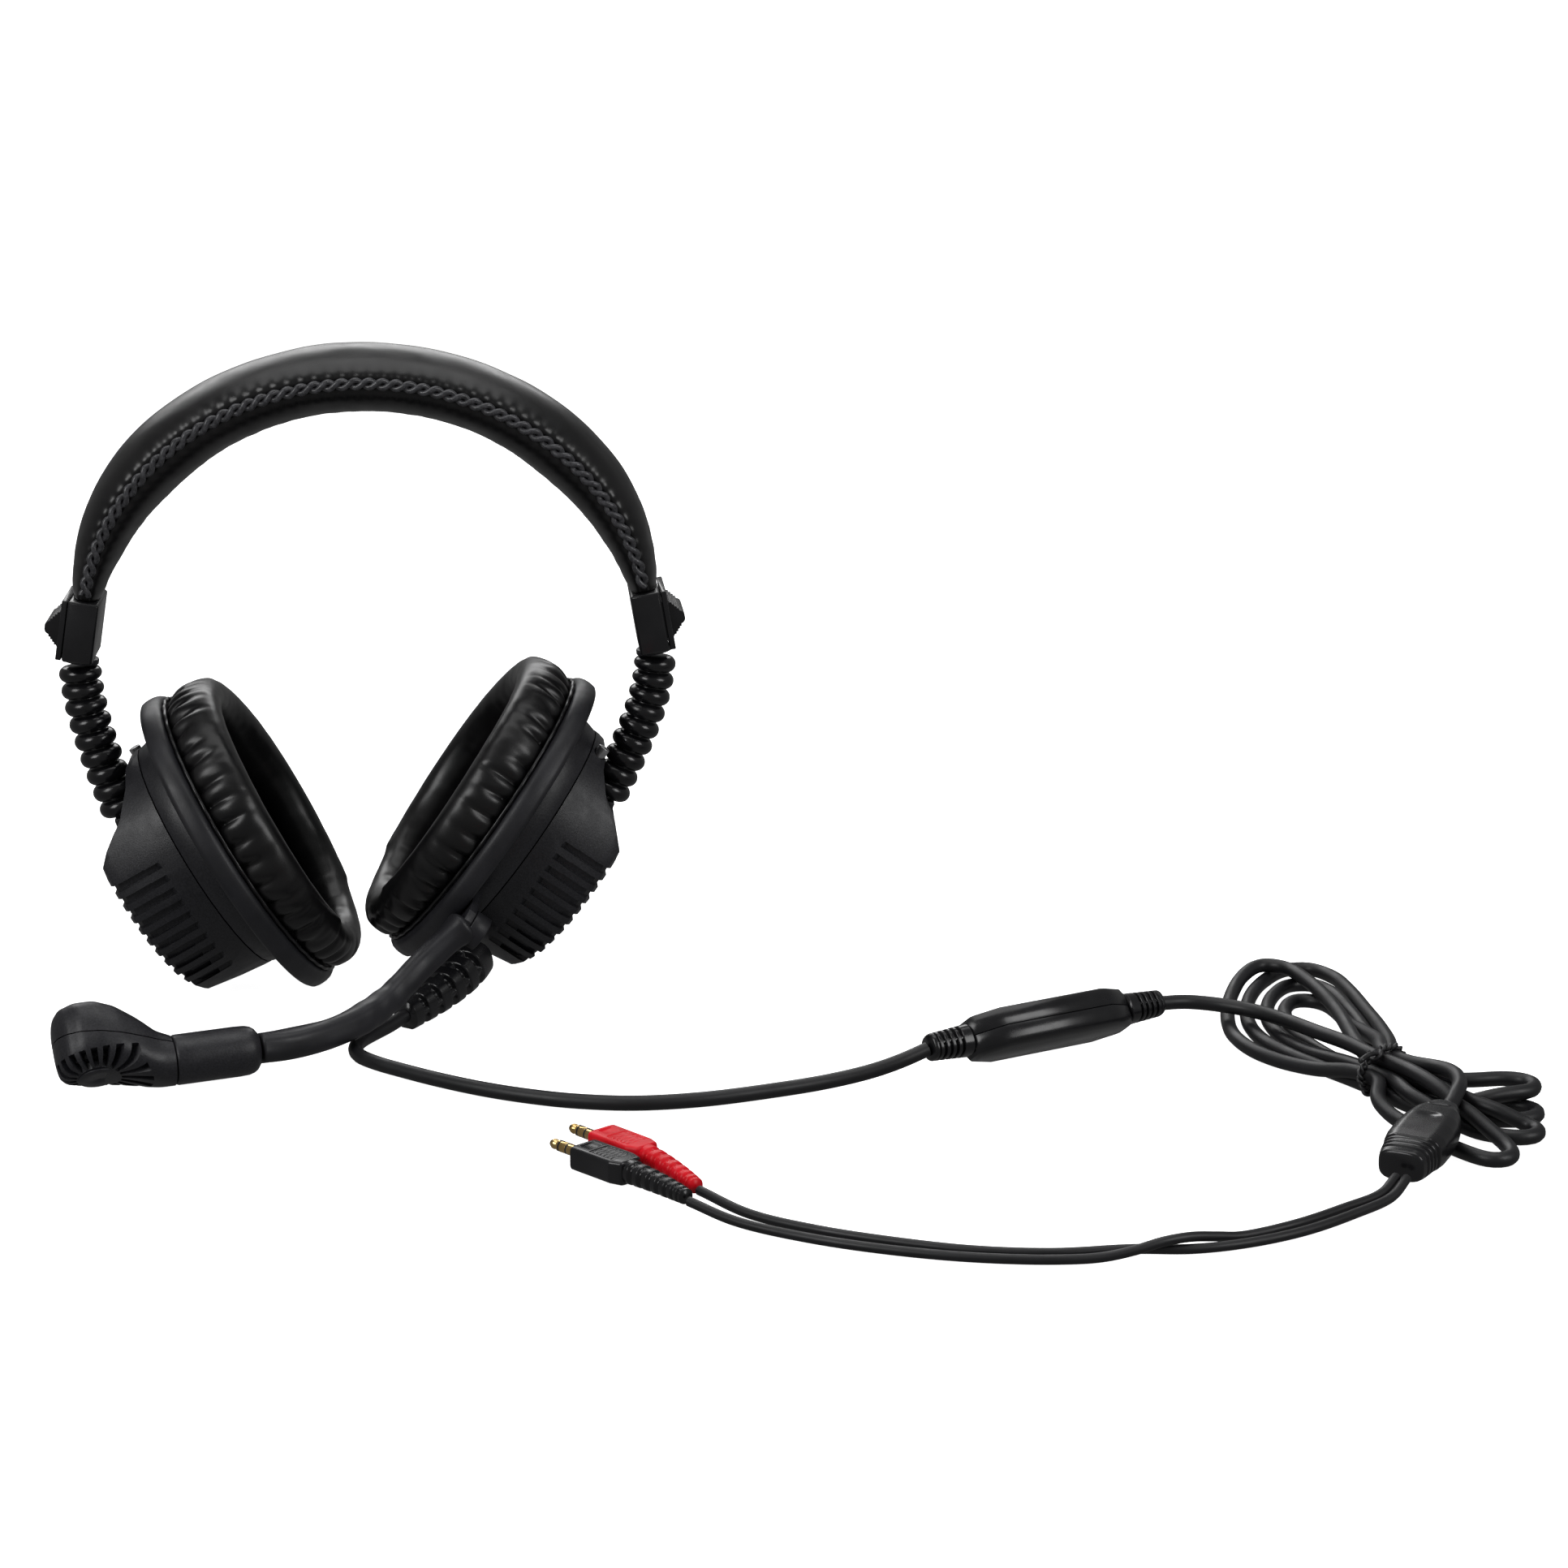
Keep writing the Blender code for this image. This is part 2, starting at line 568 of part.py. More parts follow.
def arm(name, looks):
    """Bellows arm: toothed strip, ferrule, wire and bellows, from the housing to the cup."""
    side = CUPS[name]["side"]
    centre, down, outward = cup_axes(name)
    corners = ((-1.35, -6.0), (-0.45, -6.0), (-0.45, 6.0), (-1.35, 6.0))
    loops = [[at(*housing_point(side, out, y, t)) / MM for out, y in corners]
             for t in (-18.0, HOUSING_HALF[2] - 0.1)]
    loft(f"{name}_size_strip", loops, looks["steel"], None)

    top = HOUSING_HALF[2] + GAP
    rod(f"{name}_arm_ferrule", 6.2, at(*housing_point(side, 0, 0, top)) / MM,
        at(*housing_point(side, 0, 0, top + 2.0)) / MM, looks["plastic"], None, sides=16)

    start = housing_point(side, 0, 0, top + 3.2)
    along = down * math.cos(ARM_SLOPE) + outward * math.sin(ARM_SLOPE)
    end = cup_point(name, PIVOT_U, 0.0, PIVOT_W) - along * ARM_END
    route = (start, start + Vector((-side * 0.3, 0, -16.0)), end - along * 18.0, end)

    sides = 10
    rings = 2 * BELLOWS_RINGS + 1
    outer, inner, middle = [], [], []
    for i in range(rings):
        t = i / (rings - 1)
        here = bezier(route, t)
        across = direction(route, t, 0.01).cross(Vector((0, 1, 0))).normalized()
        radius = BELLOWS_R if i % 2 else BELLOWS_NECK_R
        middle.append(at(*here))
        for loops, size in ((outer, radius), (inner, BELLOWS_BORE_R)):
            loops.append([at(*(here + across * a + Vector((0, b, 0)))) / MM
                          for a, b in superellipse(size, size, sides)])
    loft(f"{name}_arm_bellows", [*outer, *reversed(inner)], looks["gloss"], None, ring=True)
    wire = [middle[i].lerp(middle[i + 1], 0.3) if i == 0 else middle[i] for i in range(0, rings - 1, 2)]
    wire.append(middle[-2].lerp(middle[-1], 0.7))
    tube(f"{name}_arm_wire", wire, 1.4, looks["steel"])


# ---- boom and microphone ---------------------------------------------------------------------

def boom(looks):
    """Bracket on the left cup, the knuckle that turns on it, and the boom in two lengths."""
    centre, down, outward = cup_axes("left")
    home = frame("boom_pivot_frame", at(*cup_point("left", 25.0, -51.0, 4.0)), down, outward)
    bracket = prism("boom_bracket",
                    [(-9.0, 12.6), (-7.0, 3.0), (-5.6, -2.5), (-2.6, -5.2), (2.6, -5.2), (5.6, -2.5),
                     (6.6, 3.0), (7.6, 13.8), (4.0, 15.6), (-5.0, 13.6)],
                    -3.4, -0.6, lambda a, b, t: (a, b, t), looks["plastic"], home)
    cut(bracket, rod("bracket_hole", 1.9, (0, 0, -6), (0, 0, 6), None, home, cutter=True))
    knuckle = rod("boom_knuckle", 6.0, (0, 0, -0.3), (0, 0, 5.4), looks["plastic"], home, sides=20)
    cut(knuckle, rod("knuckle_hole", 1.9, (0, 0, -6), (0, 0, 8), None, home, cutter=True))
    rod("boom_pivot_screw", 1.6, (0, 0, -3.3), (0, 0, 6.0), looks["steel"], home)

    points = [Vector(p) for p in BOOM_POINTS]
    upper = smooth_route(points[:BOOM_BEND + 1], 9.0)
    lower = smooth_route(points[BOOM_BEND:], 9.0)
    upper[-1] = upper[-1].lerp(upper[-2], BOOM_GAP / (upper[-1] - upper[-2]).length)
    lower[0] = lower[0].lerp(lower[1], BOOM_GAP / (lower[0] - lower[1]).length)
    tube("boom_tube_upper", [at(*p) for p in upper], BOOM_R, looks["rubber"], resolution=2)
    tube("boom_tube_lower", [at(*p) for p in lower], BOOM_R, looks["rubber"], resolution=2)


def microphone(looks):
    along = (SLEEVE_START - SLEEVE_END).normalized()
    up = (HEAD_UP - HEAD_UP.dot(along) * along).normalized()
    length = (SLEEVE_START - SLEEVE_END).length
    home = frame("microphone_frame", at(*SLEEVE_END), along, up)

    profile = [(0.0, length), (4.9, length), (6.8, length - 1.2), (7.8, length - 3.6),
               (SLEEVE_R, length - 7.0), (SLEEVE_R, GAP), (0.0, GAP)]
    sleeve_frame = frame("sleeve_frame", at(*SLEEVE_END), up, along)
    turned("mic_sleeve", profile, looks["plastic"], sleeve_frame, steps=20, closed=False)

    # Sections from the joint to the far end: position, half width, lowest and highest point
    sections = ((0.0, 8.0, -8.0, 8.0), (-4.4, 8.7, -7.5, 9.6), (-10.4, 11.0, -5.4, 14.6),
                (-16.4, 12.9, -3.7, 18.9), (-22.4, 13.5, -2.7, 21.3), (-28.4, 12.1, -2.5, 21.7),
                (-32.8, 8.7, -2.2, 20.6), (-35.6, 4.1, -0.5, 17.0))
    loops = []
    for x, half_width, low, high in sections:
        squareness = 2.0 if x > -2.0 else 2.8
        loops.append([(x, a, b + (low + high) / 2.0)
                      for a, b in superellipse(half_width, (high - low) / 2.0, 20, squareness)])
    parting = [(4.0, 2.6), (-40.0, 11.0)]
    along_y = lambda a, b, t: (a, t, b)
    rear = loft("mic_head_rear", loops, looks["plastic"], home)
    below = [(6.0, -30.0), (6.0, parting[0][1]), parting[1], (-44.0, 11.0), (-44.0, -30.0)]
    cut(rear, prism("below_parting", below, -30.0, 30.0, along_y, None, home, cutter=True))
    front = loft("mic_head_grille", loops, looks["plastic"], home)
    above = [(6.0, 30.0), (6.0, parting[0][1] - GAP), (parting[1][0], parting[1][1] - GAP),
             (-44.0, 11.0 - GAP), (-44.0, 30.0)]
    cut(front, prism("above_parting", above, -30.0, 30.0, along_y, None, home, cutter=True))
    middle = -HEAD_REACH - 1.0
    cut(front, rod("grille_cavity", 9.6, (middle, 0, 0.4), (middle, 0, 20.0), None, home,
                   sides=20, cutter=True))
    cut(front, grille_slots(home, middle))
    rod("mic_foam", 9.2, (middle, 0, 0.8), (middle, 0, 2.6), looks["cloth"], home, sides=20)


def grille_slots(home, middle):
    """Twelve radial slots through the front of the microphone head."""
    bm = bmesh.new()
    for i in range(12):
        turn = Matrix.Rotation(math.tau * (i + 0.5) / 12.0, 4, "Z")
        spot = Matrix.Translation((middle, 0.0, -1.0)) @ turn @ Matrix.Translation((7.6, 0.0, 0.0))
        bmesh.ops.create_cube(bm, size=1.0, matrix=spot @ Matrix.Diagonal((3.4, 1.5, 6.0, 1.0)))
    return place("grille_slots", mesh_of(bm, "grille_slots", False), None, home, True)


# ---- cord ------------------------------------------------------------------------------------

def strain_relief(looks):
    """The tapered relief at the foot of the left cup: ribs on a core, as one turned piece."""
    start = Vector((32.6, -27.4, 15.2))
    end = Vector(CORD_A[0])
    ahead = (Vector(CORD_A[1]) - end).normalized()
    end = end - ahead * GAP
    route = (start, start + Vector((-4.0, -11.0, -5.0)), end - ahead * 12.0, end)
    loops = []
    ribs = 6
    for i in range(2 * ribs + 2):
        t = i / (2 * ribs + 1)
        here = bezier(route, t)
        size = 6.6 + (3.6 - 6.6) * t
        size -= 1.1 if i % 2 and i < 2 * ribs + 1 else 0.0
        section = superellipse(size, size, 12, 2.6)
        loops.append([at(*p) / MM for p in ring_round(here, direction(route, t), section)])
    relief = loft("cable_strain_relief", loops, looks["gloss"], None)
    centre, down, outward = cup_axes("left")
    home = frame("relief_frame", at(*centre), down, outward)
    keep_out = turned("relief_trim", oval_blank("trim", -GAP, home, -5.0), None, home, closed=False,
                      oval=BODY_OVAL, offset=BODY_OFFSET, cutter=True)
    cut(relief, keep_out)


def cords(looks):
    tube("main_cord", [at(*p) for p in smooth_route(CORD_A, 8.0)], CORD_R, looks["rubber"])
    tube("hank_lead_in", [at(*p) for p in smooth_route(CORD_B, 7.0)], CORD_R, looks["rubber"])
    tube("branch_cord_black", [at(*p) for p in smooth_route(BRANCH_BLACK, 8.0)], BRANCH_R,
         looks["rubber"])
    tube("branch_cord_red", [at(*p) for p in smooth_route(BRANCH_RED, 8.0)], BRANCH_R,
         looks["rubber"])


def inline_case(looks):
    """The moulded case on the cord: two halves, a board inside and a ribbed relief at each end."""
    heading = Vector((math.cos(CASE_HEADING), math.sin(CASE_HEADING), 0.0))
    forward = Vector((math.sin(CASE_HEADING), -math.cos(CASE_HEADING), 0.0))
    wall_way = forward * math.cos(CASE_ROLL) + Vector((0, 0, math.sin(CASE_ROLL)))
    flat_way = heading.cross(wall_way)
    home = frame("inline_case_frame", at(*CASE_CENTRE), heading, flat_way)
    length, width, thick = CASE_SIZE
    half_l, half_w, half_t = length / 2.0, width / 2.0, thick / 2.0
    corner = [(half_l, -3.4), (half_l, 3.4), (half_l - 2.0, 5.6), (half_l - 6.5, 7.9),
              (half_l - 10.5, half_w)]
    outline = [*corner, *[(-a, b) for a, b in reversed(corner)]]
    full = [*outline[1:-1], *[(a, -b) for a, b in reversed(outline[1:-1])]]
    inner = [(a * 0.9, b * 0.72) for a, b in full]
    for label, way in (("top", 1), ("bottom", -1)):
        levels = ((GAP / 2, 0.0), (half_t - 2.6, 0.0), (half_t - 0.8, 0.8), (half_t, 2.6))
        loops = [[(a, b, way * level) for a, b in inset(full, -shrink)] for level, shrink in levels]
        half = loft(f"inline_case_{label}", loops, looks["gloss"], home)
        cut(half, prism(f"inline_hollow_{label}", inner, -way, way * (half_t - 1.8),
                        lambda a, b, t: (a, b, t), None, home, cutter=True))
    for label, way in (("in", -1), ("out", 1)):
        profile = [(0.0, 14.4), (3.2, 14.4)]
        for k in range(4):
            high = 13.2 - 2.6 * k
            size = 4.4 + 0.2 * k
            profile += [(size, high), (size, high - 1.3), (size - 1.2, high - 1.4),
                        (size - 1.2, high - 2.5)]
        profile += [(5.2, 2.4), (5.4, GAP), (0.0, GAP)]
        base = frame(f"inline_relief_{label}_frame",
                     at(*(CASE_CENTRE + heading * way * half_l)), flat_way, heading * way)
        turned(f"inline_relief_{label}", profile, looks["gloss"], base, steps=10, closed=False)


def hank(looks):
    centre = Vector((*TIE_MIDDLE, 0.0))
    across = Vector((math.cos(TIE_ACROSS), math.sin(TIE_ACROSS), 0.0))
    body = prism("cord_hank", [tuple(at(*p, 0.0).xy / MM) for p in HANK_OUTLINE], 0.0, HANK_HEIGHT,
                 lambda a, b, t: (a, b, t), looks["rubber"], None)
    groove = frame("tie_frame", at(*centre), across, Vector((0, 0, 1)))
    depth = 2 * TIE_R + 2 * GAP
    cut(body, block("tie_groove_under", (2 * TIE_HALF + 20.0, depth + 1.0, 2 * depth),
                    (0, 0, 0), None, groove, cutter=True))
    for way in (-1, 1):
        cut(body, block(f"tie_groove_side_{way + 1}", (20.0, depth + 1.0, 4 * HANK_HEIGHT),
                        (way * (TIE_HALF - TIE_R - GAP + 10.0), 0, 0), None, groove, cutter=True))
    top = HANK_HEIGHT + GAP + TIE_R
    loop = [(-TIE_HALF, TIE_R + 1.0), (-TIE_HALF + 1.2, TIE_R), (TIE_HALF - 1.2, TIE_R),
            (TIE_HALF, TIE_R + 1.0), (TIE_HALF, top - 1.6), (TIE_HALF - 1.6, top),
            (-TIE_HALF + 1.6, top), (-TIE_HALF, top - 1.6)]
    points = [at(*(centre + across * a + Vector((0, 0, b)))) for a, b in loop]
    tube("cord_tie", points, TIE_R, looks["rubber"], cyclic=True, resolution=1)


def splitter(looks):
    along = (SPLITTER_END - SPLITTER_TOP).normalized()
    across = along.cross(Vector((0, 0, 1))).normalized()
    upward = across.cross(along)
    length = (SPLITTER_END - SPLITTER_TOP).length
    # Share of the length, half width, half height
    sections = ((0.0, 4.8, 4.4), (0.12, 5.6, 5.0), (0.16, 7.6, 5.8), (0.45, 9.3, 6.2),
                (0.7, 9.3, 6.0), (0.74, 8.4, 5.6), (0.95, 7.4, 5.2), (1.0, 6.6, 4.7))
    loops = []
    for share, half_w, half_h in sections:
        here = SPLITTER_TOP + along * length * share
        loops.append([at(*(here + across * a + upward * b)) / MM
                      for a, b in superellipse(half_w, half_h, 16, 3.0)])
    loft("cord_splitter", loops, looks["gloss"], None)


def plug(name, looks, colour):
    spec = PLUGS[name]
    heading = Vector((*spec["heading"], 0.0)).normalized()
    front = Vector((*spec["front"], PLUG_BODY[2] / 2.0))
    home = frame(f"plug_{name}_frame", at(*front), heading, Vector((0, 0, 1)))
    length, width, thick = PLUG_BODY
    tail = Vector((*spec["relief_to"], 4.0))
    tail_local = home.matrix_world.inverted() @ at(*tail) / MM
    body = prism(f"plug_{name}_body",
                 [(GAP, -width / 2), (GAP, width / 2), (length - 4.0, width / 2),
                  (length, width / 2 - 1.6), (length, -width / 2 + 1.6), (length - 4.0, -width / 2)],
                 -thick / 2, thick / 2, lambda a, b, t: (a, b, t), colour, home)
    round_edges(body, 0.6, segments=1)
    route = (Vector((length - 2.0, 0, 0)), Vector((length + 8.0, 0, 0)),
             tail_local - Vector((4.0, 1.0 * math.copysign(1, tail_local.y), 0)), tail_local)
    loops = []
    for i in range(12):
        t = i / 11.0
        here = bezier(route, t)
        size = 3.6 + (2.1 - 3.6) * t - (0.6 if i % 2 and i < 11 else 0.0)
        loops.append(ring_round(here, direction(route, t), superellipse(size, size, 10)))
    tail_piece = loft(f"plug_{name}_tail", loops, None, home, cutter=True)
    cut(body, tail_piece, "UNION")

    profile = [(0.0, PIN_LENGTH), (0.5, PIN_LENGTH), (1.6, PIN_LENGTH - 2.0),
               (1.1, PIN_LENGTH - 3.4), (PIN_R, PIN_LENGTH - 4.0), (PIN_R, 0.0), (0.0, 0.0)]
    pin_frame = frame(f"plug_{name}_pin_frame", at(*front), Vector((0, 0, 1)), -heading)
    turned(f"plug_{name}_pin", profile, looks["gold"], pin_frame, steps=14, closed=False)


def build():
    clear_scene()
    LINKS["parts"] = collection("aviation_headset")
    LINKS["cutters"] = collection("cutters")
    LINKS["cutters"].hide_render = True
    looks = {
        "leather": material("padded leatherette", (0.012, 0.012, 0.013), 0.32),
        "rubber": material("matte rubber", (0.022, 0.022, 0.024), 0.62),
        "plastic": material("textured plastic", (0.018, 0.018, 0.02), 0.5),
        "gloss": material("gloss moulding", (0.014, 0.014, 0.016), 0.3),
        "steel": material("spring steel", (0.5, 0.5, 0.5), 0.35, 1.0),
        "cloth": material("acoustic cloth", (0.01, 0.01, 0.01), 0.9),
        "gold": material("gold plating", (0.83, 0.6, 0.28), 0.2, 1.0),
        "red": material("red moulding", (0.8, 0.01, 0.02), 0.4),
    }
    headband(looks)
    for name, cup in CUPS.items():
        slider(name, cup["side"], looks)
        arm(name, looks)
        ear_cup(name, looks)
    boom(looks)
    microphone(looks)
    strain_relief(looks)
    cords(looks)
    inline_case(looks)
    hank(looks)
    splitter(looks)
    plug("black", looks, looks["gloss"])
    plug("red", looks, looks["red"])


build()
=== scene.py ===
"""Looks of the aviation headset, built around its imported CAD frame.

Lengths in this script are millimetres in the model's design frame, and at() turns them into metres.
+Z is up, -Y is the way the wearer faces, and +X is the wearer's left, the side of the boom.
"""
from math import acos, atan2, copysign, cos, degrees, dist, exp, hypot, pi, radians, sin, sqrt, tau

import bmesh
import bpy
import numpy as np
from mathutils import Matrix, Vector, noise


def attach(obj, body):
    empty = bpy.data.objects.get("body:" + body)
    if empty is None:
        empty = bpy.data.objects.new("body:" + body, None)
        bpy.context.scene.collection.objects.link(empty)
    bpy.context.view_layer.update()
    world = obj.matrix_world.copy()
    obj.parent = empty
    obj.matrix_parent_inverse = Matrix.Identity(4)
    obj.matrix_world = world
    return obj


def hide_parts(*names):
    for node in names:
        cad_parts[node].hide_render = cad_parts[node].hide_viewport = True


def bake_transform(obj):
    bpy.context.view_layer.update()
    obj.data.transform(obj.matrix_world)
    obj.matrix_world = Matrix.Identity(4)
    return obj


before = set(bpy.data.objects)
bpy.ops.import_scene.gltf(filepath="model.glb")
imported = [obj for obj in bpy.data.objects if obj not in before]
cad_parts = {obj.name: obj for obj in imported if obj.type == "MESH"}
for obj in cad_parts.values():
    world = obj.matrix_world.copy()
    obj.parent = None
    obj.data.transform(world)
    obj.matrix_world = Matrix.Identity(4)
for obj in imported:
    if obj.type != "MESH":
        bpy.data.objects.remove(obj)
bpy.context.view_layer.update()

MM = 0.001
UP = Vector((0, 0, 1))
BACKWARD = Vector((0, 1, 0))
PLANE_Y = 37.9                # the headband's middle plane, behind the origin
CUPS = {
    "left": {"side": 1, "centre": (43.5, 55.3), "tilt": radians(36.5)},
    "right": {"side": -1, "centre": (-49.6, 48.8), "tilt": radians(30.0)},
}
OVAL = 0.904                  # short axis of a cup's ring over the long one
ARM_SLOPE = radians(11.0)
HOUSING_X, HOUSING_Z = 94.9, 126.7
HOUSING_LEAN = radians(9.4)
CORD_D, TWIN_D = 4.8, 2.9     # the main and the branch cords
CORD_PITCH = 4.65             # middle to middle where two turns touch


def at(x, y, z):
    return Vector((x, y + PLANE_Y, z)) * MM


# ---- shapes ----

def turns(count):
    """Even angles round one full turn."""
    return [tau * k / count for k in range(count)]


def wander(x, y, z):
    """Smooth noise, about -1 to 1."""
    return noise.noise(Vector((x, y, z)))


def superellipse(half_a, half_b, count, power=2.0):
    return [(half_a * copysign(abs(cos(t)) ** (2.0 / power), cos(t)),
             half_b * copysign(abs(sin(t)) ** (2.0 / power), sin(t))) for t in turns(count)]


def smooth_route(points, spacing):
    """Points every spacing mm along a centripetal spline through the given ones."""
    points = [Vector(p) for p in points]
    padded = [points[0] * 2 - points[1], *points, points[-1] * 2 - points[-2]]
    route = []
    for i in range(1, len(padded) - 2):
        b, s, e, a = padded[i - 1:i + 3]
        t1 = sqrt((s - b).length)
        t2 = t1 + sqrt((e - s).length)
        t3 = t2 + sqrt((a - e).length)
        steps = max(1, round((e - s).length / spacing))
        for k in range(steps):
            t = t1 + (t2 - t1) * k / steps
            a1 = b * ((t1 - t) / t1) + s * (t / t1)
            a2 = s * ((t2 - t) / (t2 - t1)) + e * ((t - t1) / (t2 - t1))
            a3 = e * ((t3 - t) / (t3 - t2)) + a * ((t - t2) / (t3 - t2))
            b1 = a1 * ((t2 - t) / t2) + a2 * (t / t2)
            b2 = a2 * ((t3 - t) / (t3 - t1)) + a3 * ((t - t1) / (t3 - t1))
            route.append(b1 * ((t2 - t) / (t2 - t1)) + b2 * ((t - t1) / (t2 - t1)))
    return [*route, points[-1]]


def route_length(route):
    return sum((b - a).length for a, b in zip(route, route[1:]))


def bezier(points, t):
    a, b, c, d = points
    s = 1.0 - t
    return a * s ** 3 + b * 3 * s * s * t + c * 3 * s * t * t + d * t ** 3


def bezier_way(points, t, step=0.01):
    return (bezier(points, min(1.0, t + step)) - bezier(points, max(0.0, t - step))).normalized()


def groove(share, wide, edge, place, low, high):
    """Depth, 0 to 1, of a groove that repeats with share, and only where place is in range."""
    share %= 1.0
    return min(1.0, max(0.0, min(share, wide - share) / edge)) if low < place < high else 0.0


def bridged(outline, depth, shallow, is_bridge):
    """The outline drawn in by depth, or by shallow on the bridges across a groove."""
    moved = []
    for a, b in outline:
        shrink = 1.0 - (shallow if is_bridge(a, b) else depth)
        moved.append((a * shrink, b * shrink))
    return moved


def linked(name, data):
    obj = bpy.data.objects.new(name, data)
    bpy.context.scene.collection.objects.link(obj)
    return obj


def shade_smooth(obj):
    for polygon in obj.data.polygons:
        polygon.use_smooth = True
    return obj


def new_object(name, verts, faces, look, smooth=True):
    mesh = bpy.data.meshes.new(name)
    mesh.from_pydata([tuple(v) for v in verts], [], faces)
    bm = bmesh.new()
    bm.from_mesh(mesh)
    bmesh.ops.remove_doubles(bm, verts=bm.verts, dist=1e-7)
    bmesh.ops.recalc_face_normals(bm, faces=bm.faces)
    bm.to_mesh(mesh)
    bm.free()
    if look:
        mesh.materials.append(look)
    obj = linked(name, mesh)
    return shade_smooth(obj) if smooth else obj


def skin(name, rows, look, caps=True, ring=False, smooth=True):
    """A skin over loops of equal count given in metres."""
    count = len(rows[0])
    verts = [p for row in rows for p in row]
    faces = []
    last = len(rows) if ring else len(rows) - 1
    for r in range(last):
        here, far = r * count, ((r + 1) % len(rows)) * count
        for i in range(count):
            j = (i + 1) % count
            faces.append((here + i, here + j, far + j, far + i))
    if caps and not ring:
        faces.append(tuple(range(count)))
        faces.append(tuple(range((len(rows) - 1) * count, len(rows) * count)))
    return new_object(name, verts, faces, look, smooth)


def sweep(name, route, radius, look, sides=16):
    """A tube along points in metres; radius in mm is a number or radius(t, angle)."""
    rows = []
    last = len(route) - 1
    for i, here in enumerate(route):
        way = (route[min(last, i + 1)] - route[max(0, i - 1)]).normalized()
        across = way.cross(UP)
        if across.length < 0.15:
            across = way.cross(BACKWARD)
        across.normalize()
        if i and across.dot(across_before) < 0:
            across = -across
        across_before = across
        upward = across.cross(way)
        row = []
        for angle in turns(sides):
            size = (radius(i / last, angle) if callable(radius) else radius) * MM
            row.append(here + across * cos(angle) * size + upward * sin(angle) * size)
        rows.append(row)
    return skin(name, rows, look)


def loft(name, route, steps, section, look, to_world=at):
    """A skin along a bezier; section(t) gives its (across, up) points."""
    rows = []
    for i in range(steps + 1):
        t = i / steps
        here, way = bezier(route, t), bezier_way(route, t)
        across = way.cross(UP).normalized()
        upward = across.cross(way)
        rows.append([to_world(*(here + across * a + upward * b)) for a, b in section(t)])
    return skin(name, rows, look)


def turned(name, profile, to_world, count, look, caps=True):
    """A profile of (radius, run) pairs turned about the run axis of to_world(run, a, b)."""
    rows = [[to_world(run, r * cos(t), r * sin(t)) for t in turns(count)] for r, run in profile]
    return skin(name, rows, look, caps)


def prism(name, outline, low, high, to_world, look):
    """An outline of (a, b) drawn out between low and high; to_world(a, b, t) gives metres."""
    count = len(outline)
    verts = [to_world(a, b, low) for a, b in outline] + [to_world(a, b, high) for a, b in outline]
    faces = [tuple(range(count)), tuple(range(count, 2 * count))]
    faces += [(i, (i + 1) % count, (i + 1) % count + count, i + count) for i in range(count)]
    return new_object(name, verts, faces, look, smooth=False)


def soften(obj, width, angle):
    """Rounds an object's sharp edges with a bevel."""
    bevel = obj.modifiers.new("rounding", "BEVEL")
    bevel.width = width * MM
    bevel.segments = 2
    bevel.limit_method = "ANGLE"
    bevel.angle_limit = radians(angle)
    bevel.harden_normals = True
    bevel.use_clamp_overlap = True
    return shade_smooth(obj)


def baked(obj):
    """The object's modifiers made real."""
    bpy.context.view_layer.update()
    graph = bpy.context.evaluated_depsgraph_get()
    mesh = bpy.data.meshes.new_from_object(obj.evaluated_get(graph))
    obj.modifiers.clear()
    obj.data = mesh
    return obj


def carve(obj, *cutters, overlapping=False):
    """Takes the cutters out of an object."""
    for cutter in cutters:
        cut = obj.modifiers.new("cut", "BOOLEAN")
        cut.object = cutter
        cut.operation = "DIFFERENCE"
        cut.solver = "EXACT"
        cut.use_self = overlapping
    baked(obj)


def joined(name, objects):
    """Several new objects as one smooth one."""
    bm = bmesh.new()
    looks = []
    for obj in objects:
        start = len(bm.faces)
        bm.from_mesh(obj.data)
        bm.faces.ensure_lookup_table()
        for face in bm.faces[start:]:
            look = obj.data.materials[face.material_index]
            if look not in looks:
                looks.append(look)
            face.material_index = looks.index(look)
    mesh = bpy.data.meshes.new(name)
    bm.to_mesh(mesh)
    bm.free()
    for look in looks:
        mesh.materials.append(look)
    for obj in objects:
        bpy.data.objects.remove(obj)
    return shade_smooth(linked(name, mesh))


def goes(obj, body, slot, *nodes):
    """Names what a piece rides on and hides the CAD nodes it stands for; slot, meant for its
    finish, is not used.
    """
    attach(obj, body)
    if nodes:
        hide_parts(*nodes)
    return obj


# ---- materials ----

